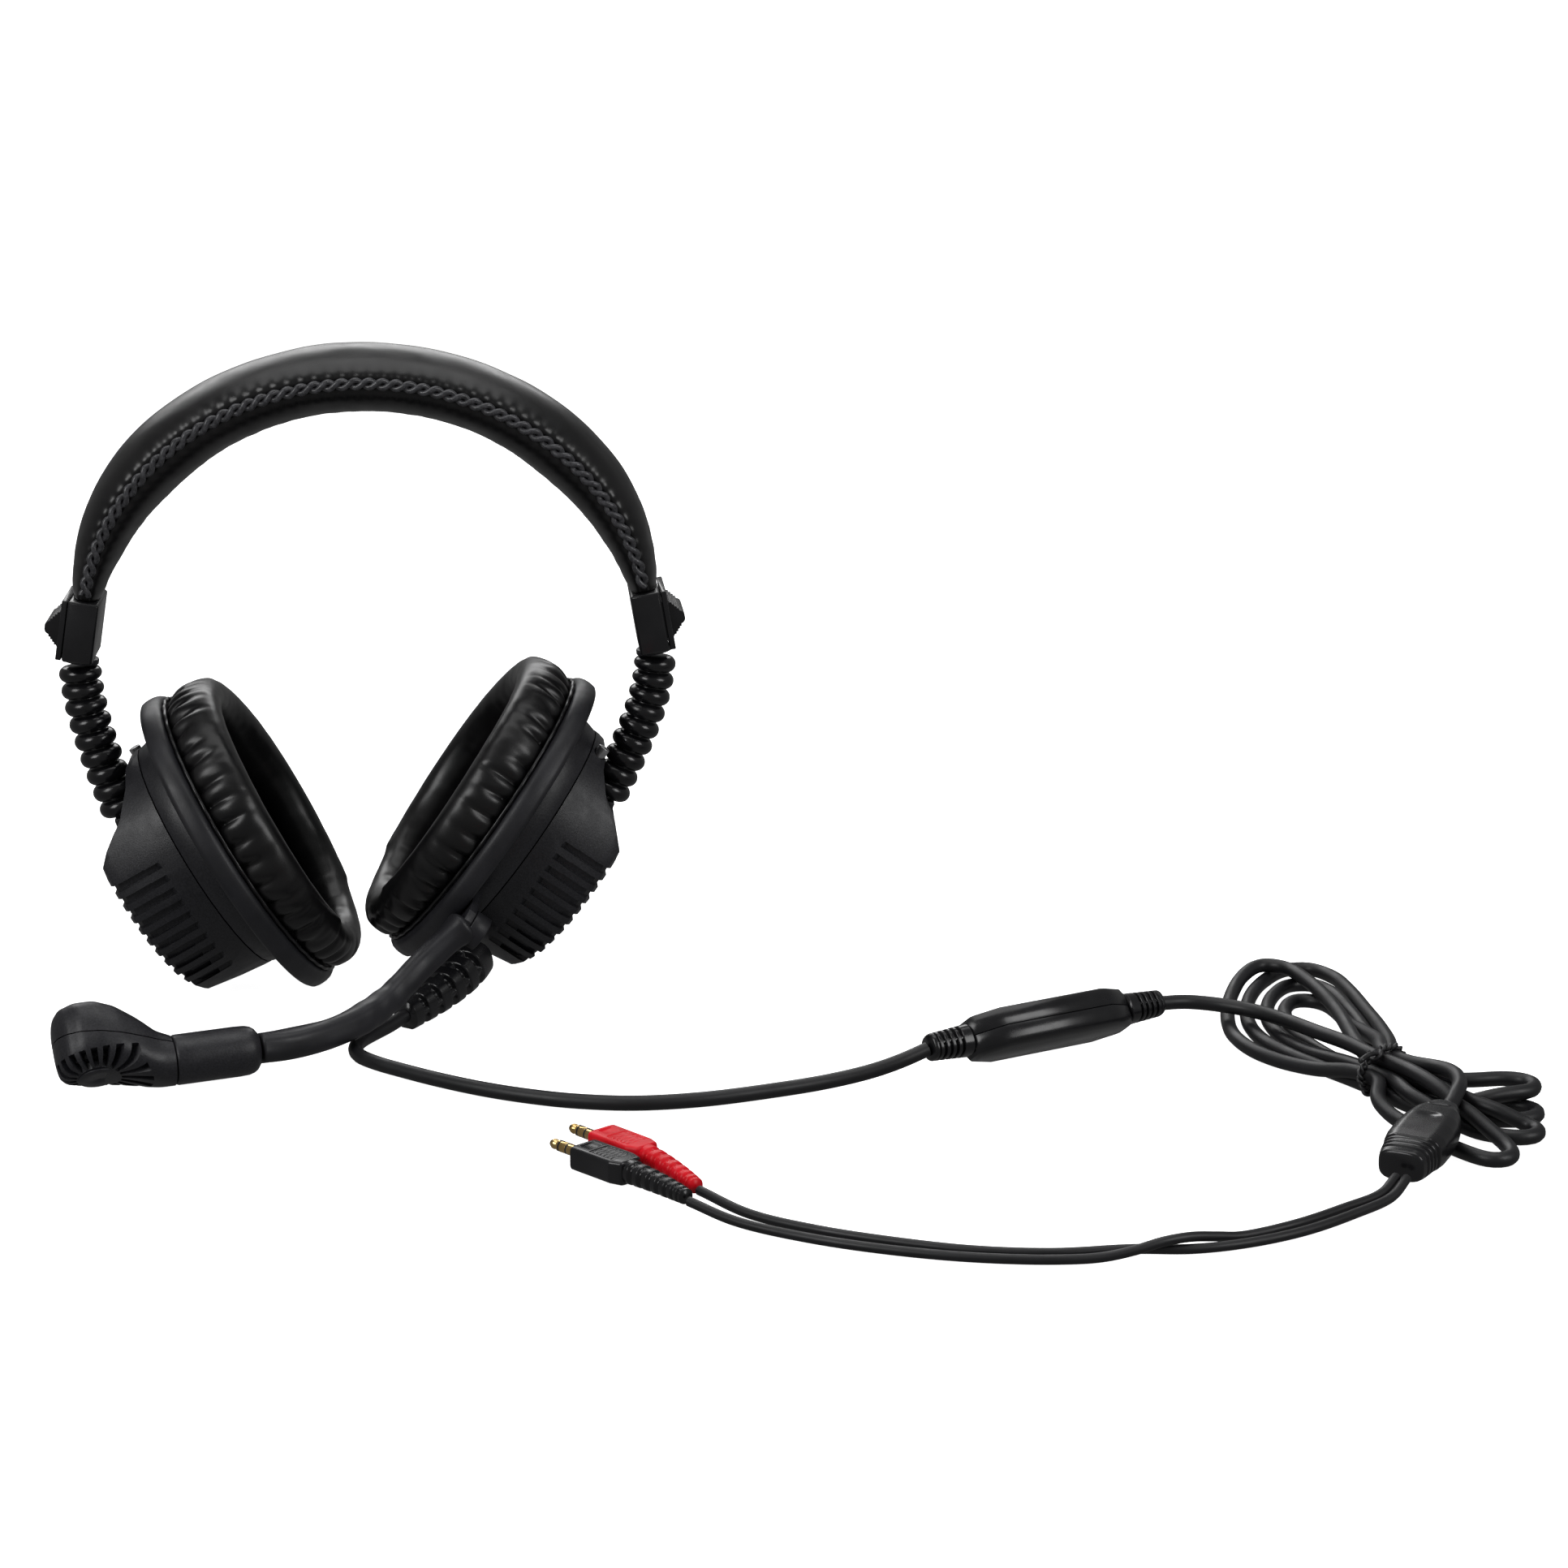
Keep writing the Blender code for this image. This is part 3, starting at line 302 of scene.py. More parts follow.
class Look:
    """A procedural material: sources of shade and height, and what they drive."""

    def __init__(self, title, roughness=0.5, metallic=0.0, specular=0.5, coat=0.0):
        self.material = bpy.data.materials.new(title)
        self.material.use_nodes = True
        self.tree = self.material.node_tree
        self.shader = self.tree.nodes["Principled BSDF"]
        for socket, value in (("Metallic", metallic), ("Specular IOR Level", specular),
                              ("Coat Weight", coat), ("Coat Roughness", 0.25),
                              ("Roughness", roughness)):
            self.shader.inputs[socket].default_value = value
        self.place = self.node("TexCoord").outputs["Object"]
        self.normal = None

    def node(self, kind, **values):
        """A new node with these input values; _ stands for a space in a socket's name."""
        node = self.tree.nodes.new("ShaderNode" + kind)
        for socket, value in values.items():
            node.inputs[socket.replace("_", " ")].default_value = value
        return node

    def through(self, source, node, socket, output):
        """What the node gives out once source is linked to its socket."""
        self.tree.links.new(source, node.inputs[socket])
        return node.outputs[output]

    def drive(self, source, socket):
        self.tree.links.new(source, self.shader.inputs[socket])

    def noise(self, scale, detail=3.0, rough=0.55, stretch=None):
        where = self.place
        if stretch:
            where = self.through(where, self.node("Mapping", Scale=stretch), "Vector", "Vector")
        node = self.node("TexNoise", Scale=scale, Detail=detail, Roughness=rough)
        return self.through(where, node, "Vector", "Fac")

    def cells(self, scale, feature="DISTANCE_TO_EDGE"):
        node = self.node("TexVoronoi", Scale=scale)
        node.feature = feature
        return self.through(self.place, node, "Vector", "Distance")

    def weave(self, scale):
        """Two crossing wave patterns as the height of a woven cloth."""
        most = self.node("Math")
        most.operation = "MAXIMUM"
        for k, turn in enumerate((0.0, pi / 2)):
            mapping = self.node("Mapping", Rotation=(turn, 0.6, turn))
            where = self.through(self.place, mapping, "Vector", "Vector")
            wave = self.node("TexWave", Scale=scale, Distortion=0.6)
            self.tree.links.new(self.through(where, wave, "Vector", "Fac"), most.inputs[k])
        return most.outputs["Value"]

    def colours(self, source, dark, light, low=0.35, high=0.65):
        ramp = self.node("ValToRGB")
        for end, place, colour in zip(ramp.color_ramp.elements, (low, high), (dark, light)):
            end.position = place
            end.color = (*colour, 1.0)
        self.drive(self.through(source, ramp, "Fac", "Color"), "Base Color")

    def roughness(self, source, low, high):
        node = self.node("MapRange", From_Min=0.3, From_Max=0.7, To_Min=low, To_Max=high)
        self.drive(self.through(source, node, "Value", "Result"), "Roughness")

    def bump(self, source, strength, depth):
        node = self.node("Bump", Strength=strength, Distance=depth * MM)
        if self.normal:
            self.tree.links.new(self.normal, node.inputs["Normal"])
        self.normal = self.through(source, node, "Height", "Normal")
        self.drive(self.normal, "Normal")


BRUSHED = (1.0, 1.0, 0.1)
TWISTED = (1.0, 1.0, 0.35)

# Title, shader values, colours, roughness (or none), then bumps. A source comes first in each;
# after it, colours give dark, light and the ramp's ends, and bumps give strength and depth in mm.
LOOK_TABLE = {
    "leather": ("black leatherette", dict(specular=0.42, coat=0.12),
                (("noise", 60.0, 4.0), (0.003, 0.003, 0.0035), (0.0065, 0.006, 0.0065)),
                (("noise", 140.0, 5.0), 0.29, 0.40),
                (("noise", 70.0, 2.0), 0.10, 0.5), (("cells", 1300.0), 0.10, 0.07),
                (("noise", 2600.0, 4.0, 0.7), 0.10, 0.04)),
    "thread": ("black stitching thread", dict(specular=0.5),
               (("noise", 900.0, 3.0), (0.030, 0.030, 0.033), (0.075, 0.075, 0.082)),
               (("noise", 700.0, 3.0), 0.22, 0.36),
               (("noise", 2400.0, 2.0, 0.5, TWISTED), 0.5, 0.12)),
    "rubber": ("matte rubber", dict(specular=0.42),
               (("noise", 70.0, 4.0), (0.012, 0.012, 0.0145), (0.020, 0.020, 0.0240)),
               (("noise", 160.0, 4.0), 0.38, 0.52),
               (("noise", 2400.0, 3.0, 0.65), 0.30, 0.06)),
    "cord": ("black cord jacket", dict(specular=0.5),
             (("noise", 45.0, 3.0), (0.0055, 0.0055, 0.0065), (0.010, 0.010, 0.012)),
             (("noise", 110.0, 4.0), 0.40, 0.52),
             (("noise", 1800.0, 3.0, 0.6), 0.16, 0.05)),
    "plastic": ("fine grained plastic", dict(specular=0.46),
                (("noise", 1500.0, 3.0, 0.7), (0.010, 0.010, 0.0125), (0.024, 0.024, 0.0285)),
                (("noise", 200.0, 4.0), 0.36, 0.48),
                (("noise", 1900.0, 2.0, 0.6), 0.55, 0.09)),
    "gloss": ("glossy moulding", dict(specular=0.5, coat=0.1),
              (("noise", 60.0, 3.0), (0.006, 0.006, 0.007), (0.012, 0.012, 0.0135)),
              (("noise", 130.0, 5.0), 0.18, 0.30),
              (("noise", 2600.0, 2.0, 0.6), 0.03, 0.01)),
    "bellows": ("glossy bellows rubber", dict(specular=0.5, coat=0.1),
                (("noise", 90.0, 3.0), (0.003, 0.003, 0.004), (0.008, 0.008, 0.009)),
                (("noise", 180.0, 4.0), 0.16, 0.28),
                (("noise", 1500.0, 3.0, 0.6), 0.12, 0.05)),
    "steel": ("brushed steel", dict(metallic=1.0),
              (("noise", 300.0, 3.0, 0.6, BRUSHED), (0.36, 0.36, 0.37), (0.56, 0.56, 0.57)),
              (("noise", 500.0, 3.0, 0.6, BRUSHED), 0.26, 0.44)),
    "gold": ("gold plating", dict(metallic=1.0),
             (("noise", 260.0, 3.0), (0.72, 0.47, 0.17), (0.86, 0.62, 0.28)),
             (("noise", 900.0, 4.0), 0.13, 0.28)),
    "red": ("red moulding", dict(specular=0.35),
            (("noise", 90.0, 3.0), (0.74, 0.002, 0.010), (0.86, 0.006, 0.020)),
            (("noise", 200.0, 4.0), 0.30, 0.44),
            (("noise", 2200.0, 3.0, 0.6), 0.06, 0.03)),
    "cloth": ("dark speaker cloth", dict(roughness=0.92, specular=0.2),
              (("weave", 420.0), (0.004, 0.004, 0.005), (0.016, 0.016, 0.018), 0.3, 0.9),
              None, (("weave", 420.0), 0.6, 0.15)),
    "foam": ("open cell foam", dict(roughness=0.95, specular=0.1),
             (("cells", 900.0, "F1"), (0.003, 0.003, 0.004), (0.022, 0.022, 0.024), 0.1, 0.8),
             None, (("cells", 900.0, "F1"), 0.8, 0.3)),
    "band": ("dark rubber band", dict(specular=0.5),
             (("noise", 400.0, 3.0), (0.010, 0.010, 0.011), (0.026, 0.026, 0.028)),
             (("noise", 300.0, 3.0), 0.28, 0.46)),
    "floor": ("pale studio floor", dict(roughness=0.9, specular=0.1),
              (("noise", 3.0, 2.0), (0.925, 0.925, 0.925), (0.935, 0.935, 0.935)), None),
}


def make_looks():
    looks = {}
    for key, (title, values, colour, rough, *bumps) in LOOK_TABLE.items():
        look = Look(title, **values)

        def source(kind, *settings):
            return getattr(look, kind)(*settings)

        look.colours(source(*colour[0]), *colour[1:])
        if rough:
            look.roughness(source(*rough[0]), *rough[1:])
        for height, strength, depth in bumps:
            look.bump(source(*height), strength, depth)
        looks[key] = look.material
    # the floor glows, so that it stays white wherever the lamps don't reach
    glow = looks["floor"].node_tree.nodes["Principled BSDF"].inputs
    glow["Emission Color"].default_value = (1.0, 1.0, 1.0, 1.0)
    glow["Emission Strength"].default_value = 0.97
    return looks


LOOKS = make_looks()

# CAD nodes that stay as they are take their finish from here: look, edge rounding in mm
STAY = {
    "headband_spring_strip": ("steel", 0.0), "boom_bracket": ("rubber", 0.5),
    "boom_knuckle": ("rubber", 0.8), "boom_pivot_screw": ("steel", 0.2),
    "mic_foam": ("foam", 0.0), "inline_case_top": ("gloss", 0.5),
    "inline_case_bottom": ("gloss", 0.5),
}
STAY_ON_BOTH_SIDES = {
    "slider_housing": ("gloss", 0.5), "slider_cover": ("gloss", 0.35), "size_strip": ("steel", 0.0),
    "arm_ferrule": ("plastic", 0.3), "arm_lug": ("plastic", 0.4), "pivot_pin": ("steel", 0.2),
    "baffle_plate": ("plastic", 0.3), "speaker_driver": ("steel", 0.3),
    "cup_base": ("plastic", 0.3), "case_screw": ("steel", 0.3),
}
for _side in CUPS:
    STAY.update({f"{_side}_{part}": finish for part, finish in STAY_ON_BOTH_SIDES.items()})


def dress_nodes():
    for name, (look, width) in STAY.items():
        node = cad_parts[name]
        node.data.materials.clear()
        node.data.materials.append(LOOKS[look])
        weld = node.modifiers.new("weld", "WELD")
        weld.merge_threshold = 1e-5
        if width:
            soften(node, width, 30.0)


# ---- headband ----

BAND_CENTRE_Z, BAND_HALF_SPAN, BAND_RISE = 125.0, 94.2, 84.5
BAND_THICK, BAND_END_THICK, BAND_WIDTH, BAND_END_WIDTH = 23.4, 10.0, 40.0, 27.0
BAND_TAPER_FROM = 40.0        # degrees from the crown
STITCH_PITCH = 4.45


def band_point(angle, out=0.0):
    """A point on the band's middle line, angle in degrees from the crown, moved outward by out."""
    turn = radians(angle)
    point = Vector((BAND_HALF_SPAN * sin(turn), 0.0, BAND_CENTRE_Z + BAND_RISE * cos(turn)))
    normal = Vector((sin(turn) / BAND_HALF_SPAN, 0.0, cos(turn) / BAND_RISE)).normalized()
    return point + normal * out


def housing_point(side, out, y, down):
    lean_x, lean_z = sin(HOUSING_LEAN), cos(HOUSING_LEAN)
    x = HOUSING_X + out * lean_z + down * lean_x
    z = HOUSING_Z + out * lean_x - down * lean_z
    return Vector((side * x, y, z))


def band_end_angle():
    top = housing_point(1, 0.0, 0.0, -10.65)
    return degrees(acos((top.z - BAND_CENTRE_Z) / BAND_RISE))


def band_size(angle):
    reach = band_end_angle() - BAND_TAPER_FROM
    share = max(0.0, (abs(angle) - BAND_TAPER_FROM) / reach) ** 2
    return (BAND_THICK + (BAND_END_THICK - BAND_THICK) * share,
            BAND_WIDTH + (BAND_END_WIDTH - BAND_WIDTH) * share)


def band_stations(count):
    """Angles evenly spaced along the band's length, each with its distance from the left end."""
    end = band_end_angle()
    angles = np.linspace(-end, end, 2001)
    points = np.array([band_point(a)[:] for a in angles])
    run = np.concatenate([[0.0], np.cumsum(np.linalg.norm(np.diff(points, axis=0), axis=1))])
    marks = np.linspace(0.0, run[-1], count)
    return list(zip(np.interp(marks, run, angles), marks))


def headband():
    """The padded cover, soft and wrinkled, with a puckered groove down each edge for the braid."""
    rows = []
    for angle, run in band_stations(420):
        thick, width = band_size(angle)
        row = []
        for a, b in superellipse(width / 2.0, thick / 2.0, 84, 1.8):
            edge = max(0.0, (abs(a) / (width / 2.0) - 0.72) / 0.28)
            seam = 1.5 * exp(-(b / 2.1) ** 2) * edge
            stitch = cos(tau * run / STITCH_PITCH + copysign(0.9, b))
            pucker = 0.28 * stitch * exp(-((abs(b) - 3.6) / 2.2) ** 2) * edge
            spot = Vector((angle * 0.055, a * 0.06, b * 0.09))
            soft = 0.55 * noise.noise(spot) + 0.25 * noise.noise(spot * 2.7 + Vector((7, 3, 1)))
            crease = max(0.0, -b / thick) * 0.5 * wander(angle * 0.42, a * 0.03, 5.0)
            near_end = max(0.0, (abs(angle) - 58.0) / 24.0)
            wrinkle = 0.5 * near_end * wander(angle * 0.3, a * 0.09, 11.0)
            grow = 1.0 + (soft + crease + wrinkle - 0.5) / (thick / 2.0) * 0.6
            a_out = copysign(max(0.0, abs(a) - seam + pucker), a)
            point = band_point(angle, b * grow)
            row.append(at(point.x, a_out * (1.0 + (soft - 0.3) * 0.012), point.z))
        rows.append(row)
    cover = skin("headband_pad", rows, LOOKS["leather"])
    goes(cover, "headband", "padded_leatherette", "headband_cover")
    for side_name, way in (("front", -1), ("back", 1)):
        braid(side_name, way)


def braid(side_name, way):
    """Two thick threads wound about each other along one edge of the band."""
    strands = []
    for strand in (0, 1):
        route = []
        for angle, run in band_stations(900):
            if abs(angle) > band_end_angle() - 1.2:
                continue
            _, width = band_size(angle)
            turn = tau * run / (2 * STITCH_PITCH) + strand * pi
            point = band_point(angle, 1.2 * sin(turn))
            route.append(at(point.x, way * (width / 2.0 - 0.25 + 0.55 * cos(turn)), point.z))
        strands.append(sweep(f"braid_{side_name}_{strand}", route, 0.98, LOOKS["thread"], 10))
    goes(joined(f"headband_whip_stitch_{side_name}", strands), "headband", "padded_leatherette")


def release_buttons():
    """The ridge of each release button: serrated ramps up to a rounded nose."""
    for name, cup in CUPS.items():
        side = cup["side"]
        half = [(7.6, 3.2), (7.6, 4.7), (6.3, 4.8), (6.3, 7.4), (5.6, 7.7)]
        foot, head = Vector((5.6, 7.7)), Vector((2.4, 10.5))
        for k in range(4):
            here = foot.lerp(head, k / 4.0)
            step = foot.lerp(head, (k + 1) / 4.0)
            half += [(here.x - 0.05, step.y + 0.05), (step.x, step.y)]
        half += [(2.1, 11.2), (1.6, 11.8), (0.85, 12.1)]
        outline = [*half, *[(-a, b) for a, b in reversed(half)]]
        button = prism(f"{name}_release_ridge", outline, -11.5, 11.5,
                       lambda a, b, t: at(*housing_point(side, b, t, a)), LOOKS["gloss"])
        soften(button, 0.22, 28.0)
        goes(button, f"{name}_button", "textured_plastic", f"{name}_release_button")


# ---- ear cups ----

def cup_axes(name):
    cup = CUPS[name]
    side, tilt = cup["side"], cup["tilt"]
    down = Vector((-side * sin(tilt), 0.0, -cos(tilt)))
    outward = Vector((side * cos(tilt), 0.0, -sin(tilt)))
    return Vector((cup["centre"][0], 0.0, cup["centre"][1])), down, outward


def cup_point(name, u, y, w):
    centre, down, outward = cup_axes(name)
    return centre + down * u + outward * w + Vector((0.0, y, 0.0))


def oval_point(name, size, angle, w):
    """A point of a cup on an oval of this long half axis, in metres."""
    return at(*cup_point(name, size * cos(angle), size * OVAL * sin(angle), w))


# The cushion's section as (radius, w): pressed to the CAD solid's, and full
PRESSED = ((54.4, -7.9), (56.0, -11.6), (55.7, -17.5), (52.7, -21.8), (48.4, -24.0),
           (44.0, -23.3), (41.0, -20.4), (40.0, -14.5), (41.4, -7.9))
FULL = ((54.6, -7.9), (56.2, -11.6), (56.3, -18.0), (55.0, -23.6), (50.6, -27.4),
        (45.0, -27.2), (41.4, -23.4), (39.6, -15.5), (41.0, -7.9))
HELD_ABOVE = -0.0098          # metres; the cloth nearer the ring than this stays put
MOST_SWELL = 0.0012           # metres


def cushion_profile(angle):
    """The cushion's section: full at the top, pressed where the two cups meet."""
    full = min(1.0, (1.0 - cos(angle)) / 1.5)
    return [Vector(p).lerp(Vector(q), full) for p, q in zip(PRESSED, FULL)]


def swell(form):
    """A short cloth simulation that blows the form up, with each point's way capped."""
    rest = np.array([v.co[:] for v in form.data.vertices])
    group = form.vertex_groups.new(name="held")
    group.add([i for i, p in enumerate(rest) if p[2] > HELD_ABOVE], 1.0, "REPLACE")
    cloth = form.modifiers.new("cloth", "CLOTH")
    settings = cloth.settings
    settings.quality = 5
    settings.mass = 0.3
    settings.tension_stiffness = settings.compression_stiffness = 15.0
    settings.shear_stiffness = 8.0
    settings.bending_stiffness = 0.4
    settings.use_pressure = True
    settings.uniform_pressure_force = 4.0
    settings.vertex_group_mass = "held"
    settings.effector_weights.gravity = 0.0
    cloth.collision_settings.use_collision = False
    cloth.point_cache.frame_start = 1
    cloth.point_cache.frame_end = 20
    for step in range(1, 21):
        bpy.context.scene.frame_set(step)
    moved = form.evaluated_get(bpy.context.evaluated_depsgraph_get()).data
    shift = np.array([v.co[:] for v in moved.vertices]) - rest
    form.modifiers.clear()
    bpy.context.scene.frame_set(1)
    size = np.linalg.norm(shift, axis=1, keepdims=True)
    shift *= np.minimum(1.0, MOST_SWELL / np.maximum(size, 1e-9))
    form.data.vertices.foreach_set("co", (rest + shift).ravel())
    form.data.update()


def cushion_form():
    """Points (mm) and faces of one swollen ear cushion in the cup's own axes."""
    middle = Vector((48.2, -16.0))
    rows = []
    for angle in turns(120):
        section = [(middle + (p - middle) * 0.95).to_3d() for p in cushion_profile(angle)]
        closed = smooth_route([section[-1], *section], 2.0)[:-1]
        closed = [closed[round(k * (len(closed) - 1) / 47)] for k in range(48)]
        rows.append([Vector((p.x * cos(angle), p.x * OVAL * sin(angle), p.y)) * MM
                     for p in closed])
    form = skin("cushion_form", rows, LOOKS["leather"], ring=True)
    remesh = form.modifiers.new("remesh", "REMESH")
    remesh.mode = "VOXEL"
    remesh.voxel_size = 0.004
    baked(form)
    swell(form)
    relax = form.modifiers.new("relax", "SMOOTH")
    relax.factor = 0.5
    relax.iterations = 5
    finer = form.modifiers.new("finer", "SUBSURF")
    finer.levels = finer.render_levels = 2
    baked(form)
    points = np.array([v.co[:] for v in form.data.vertices]) / MM
    faces = [tuple(p.vertices) for p in form.data.polygons]
    bpy.data.objects.remove(form)
    return points, faces


def pleated(u, y, w, seed):
    """A cushion's point moved by the pleats that are gathered into the seam at the ring."""
    angle = atan2(y / OVAL, u)
    radius = hypot(u, y / OVAL)
    outer = max(0.0, min(1.0, (radius - 47.0) / 5.0))
    inner = max(0.0, min(1.0, (45.5 - radius) / 4.0))
    around = Vector((cos(angle), sin(angle), 0.0))
    jitter = noise.noise(around * 5.0 + Vector((0, 0, seed)))
    phase = angle * 22.0 + 1.5 * jitter + 0.05 * (w + 8.0) * jitter
    local = noise.noise(around * 14.0 + Vector((0, 0, seed + 5.0)))
    up_wall = max(0.0, -w - 8.0)
    reach = exp(-(up_wall / (8.5 + 6.0 * local)) ** 2.2)
    sharp = 2.8 - 1.5 * min(1.0, up_wall / 8.0)
    depth = (1.9 + 0.9 * local) * (1.0 - abs(sin(phase))) ** sharp * reach
    pillow = 0.75 * (abs(sin(phase)) - 0.7) * reach * outer
    spot = Vector((u * 0.05, y * 0.05, w * 0.06 + seed))
    soft = 0.16 * noise.noise(spot) + 0.05 * noise.noise(spot * 3.1)
    new_radius = radius - depth * outer + 0.12 * depth * inner + pillow + soft
    # never past the section's own outline
    section = cushion_profile(angle)[:5]
    if radius > 48.0:
        most = float(np.interp(-w, [-p.y for p in section], [p.x for p in section])) + 0.45
        new_radius = min(new_radius, most)
    scale = new_radius / radius
    return u * scale, y * scale, max(w + 0.3 * soft * (1.0 - reach), section[4].y - 0.1)


def cushion_welt(name):
    """The rolled welt where the cushion tucks into the ring."""
    rows = []
    _, down, outward = cup_axes(name)
    for angle in turns(240):
        here = oval_point(name, 54.0 + 0.22 * cos(angle * 44.0), angle, -8.5)
        way_out = (down * cos(angle) + Vector((0, sin(angle), 0))).normalized()
        rows.append([here + (way_out * cos(k) + outward * sin(k)) * 0.62 * MM for k in turns(8)])
    welt = skin(f"{name}_cushion_welt", rows, LOOKS["leather"], ring=True)
    goes(welt, f"{name}_cup", "padded_leatherette")


def speaker_cloth(name):
    """Cloth stretched over the speaker inside the cushion."""
    across = 40.6
    sizes = [across * (k + 0.02) / 13.0 for k in range(14)]
    rims = [(size, -9.6 - 1.6 * cos(pi / 2 * min(1.0, size / across))) for size in sizes]
    rims.append((across, -9.0))
    rows = [[oval_point(name, size, a, w) for a in turns(64)] for size, w in rims]
    cover = skin(f"{name}_speaker_cloth", rows, LOOKS["cloth"])
    goes(cover, f"{name}_cup", "acoustic_foam")


def ear_cushions():
    points, faces = cushion_form()
    for name, seed in (("left", 3.0), ("right", 17.0)):
        verts = [at(*cup_point(name, *pleated(*point, seed))) for point in points]
        cushion = new_object(f"{name}_ear_cushion_cover", verts, faces, LOOKS["leather"])
        goes(cushion, f"{name}_cup", "padded_leatherette", f"{name}_ear_cushion")
        cushion_welt(name)
        speaker_cloth(name)


RING_PROFILE = ((55.2, 0.0), (56.1, -0.25), (56.8, -0.9), (57.0, -2.0), (57.0, -3.2), (56.9, -4.6),
                (56.5, -6.0), (55.8, -7.0), (54.6, -7.5), (52.0, -7.5), (46.6, -7.5), (46.6, 0.0),
                (51.0, 0.0), (53.5, 0.15))
BOOM_FOOT = 294.0             # degrees round the left ring


def flange_rings():
    for name in CUPS:
        rows = []
        for angle in turns(216):
            # the left ring swells round the foot of the boom
            near_boom = exp(-((degrees(angle) - BOOM_FOOT) / 11.0) ** 2) if name == "left" else 0.0
            row = []
            for r, w in RING_PROFILE:
                wing = 1.6 * near_boom if r > 54 else 0.0
                dimple = 0.12 * wander(cos(angle) * 4, sin(angle) * 4, w * 0.2)
                row.append(oval_point(name, r + wing + dimple, angle, w))
            rows.append(row)
        ring = skin(f"{name}_ring", rows, LOOKS["rubber"], ring=True)
        goes(ring, f"{name}_cup", "matte_rubber", f"{name}_flange_ring")


SLOT_PITCH, SLOT_HALF_WIDTH, SLOT_DEPTH = 4.8, 1.15, 1.7
SLOT_FROM, SLOT_TO = 15.5, 38.0


def shell_slot(name, index, back):
    """The cutter of one slot, which follows the flank from the rim in towards the ring."""
    middle = -13.0 + SLOT_PITCH * index
    rows = []
    for w in np.linspace(SLOT_FROM, SLOT_TO, 12):
        rise = min(1.0, (w - SLOT_FROM) / 2.0)
        flank = np.interp(w, (8.0, 29.5, 33.4, 38.0), (43.0, 42.0, 40.4, 36.0))
        reach = sqrt(max(0.0, 1.0 - (middle + 1.5) ** 2 / flank ** 2)) * flank * 0.88
        low, high = reach - SLOT_DEPTH * rise, reach + 6.0
        half = SLOT_HALF_WIDTH
        rows.append([at(*cup_point(name, middle + du, back * r, w))
                     for du, r in ((-half, low), (half, low), (half, high), (-half, high))])
    return skin(f"slot_{index}_{back}", rows, LOOKS["plastic"], smooth=False)


def cup_shells():
    """The CAD shells with their slots cut on further in and deeper, and their edges rounded."""
    for name in CUPS:
        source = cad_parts[f"{name}_cup_shell"].data
        verts = [v.co.copy() for v in source.vertices]
        faces = [tuple(p.vertices) for p in source.polygons]
        shell = new_object(f"{name}_shell", verts, faces, LOOKS["plastic"], smooth=False)
        bm = bmesh.new()
        bm.from_mesh(shell.data)
        bmesh.ops.remove_doubles(bm, verts=bm.verts, dist=2e-6)
        bmesh.ops.dissolve_limit(bm, angle_limit=radians(1.0), verts=bm.verts, edges=bm.edges)
        bm.to_mesh(shell.data)
        bm.free()
        slots = [shell_slot(name, i, back) for i in range(10) for back in (-1, 1)]
        comb = joined(f"{name}_slot_comb", slots)
        carve(shell, comb, overlapping=True)
        bpy.data.objects.remove(comb)
        soften(shell, 0.32, 34.0)
        goes(shell, f"{name}_cup", "textured_plastic", f"{name}_cup_shell")


# ---- bellows arms ----

FOLDS, STATIONS_PER_FOLD = 9, 16
FOLD_LOW, FOLD_HIGH = 3.9, 7.2


def bellows_route(name):
    side = CUPS[name]["side"]
    centre, down, outward = cup_axes(name)
    start = housing_point(side, 0, 0, 13.85)
    along = down * cos(ARM_SLOPE) + outward * sin(ARM_SLOPE)
    end = cup_point(name, -24.0, 0.0, 25.2) - along * 4.6
    return start, start + Vector((-side * 0.3, 0, -16.0)), end - along * 18.0, end


def bellows():
    for name in CUPS:
        route = bellows_route(name)
        rows = []
        steps = FOLDS * STATIONS_PER_FOLD
        for i in range(steps + 1):
            t = i / steps
            share = (i % STATIONS_PER_FOLD) / STATIONS_PER_FOLD
            swollen = sqrt(max(0.0, 1.0 - (2.0 * share - 1.0) ** 2)) ** 0.95
            size = FOLD_LOW + (FOLD_HIGH - FOLD_LOW) * swollen
            here = bezier(route, t)
            across = bezier_way(route, t).cross(BACKWARD).normalized()
            rows.append([at(*(here + across * a + Vector((0, b, 0))))
                         for a, b in superellipse(size, size, 40)])
        cover = skin(f"{name}_bellows", rows, LOOKS["bellows"])
        core = [at(*bezier(route, 0.02 + 0.96 * k / 40)) for k in range(41)]
        wire = sweep(f"{name}_core_wire", core, 1.4, LOOKS["steel"], 12)
        for obj, slot, node in ((cover, "gloss_moulding", "bellows"), (wire, "steel", "wire")):
            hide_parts(f"{name}_arm_{node}")
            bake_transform(obj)


# ---- boom and microphone ----

BOOM_ROOT = (31.6, -51.6, 33.9)
BOOM_POINTS = ((25.4, -55.0, 29.8), (15.8, -60.5, 22.2), (5.2, -71.5, 14.4), (-3.3, -81.0, 11.0),
               (-11.3, -89.5, 9.7), (-19.5, -96.3, 9.5), (-27.0, -100.8, 9.4), (-34.4, -103.8, 9.4))
SLEEVE_START = Vector((-34.8, -104.0, 9.4))
SLEEVE_END = Vector((-61.4, -111.9, 8.88))
HEAD_UP = Vector((-0.206, 0.635, 0.744))


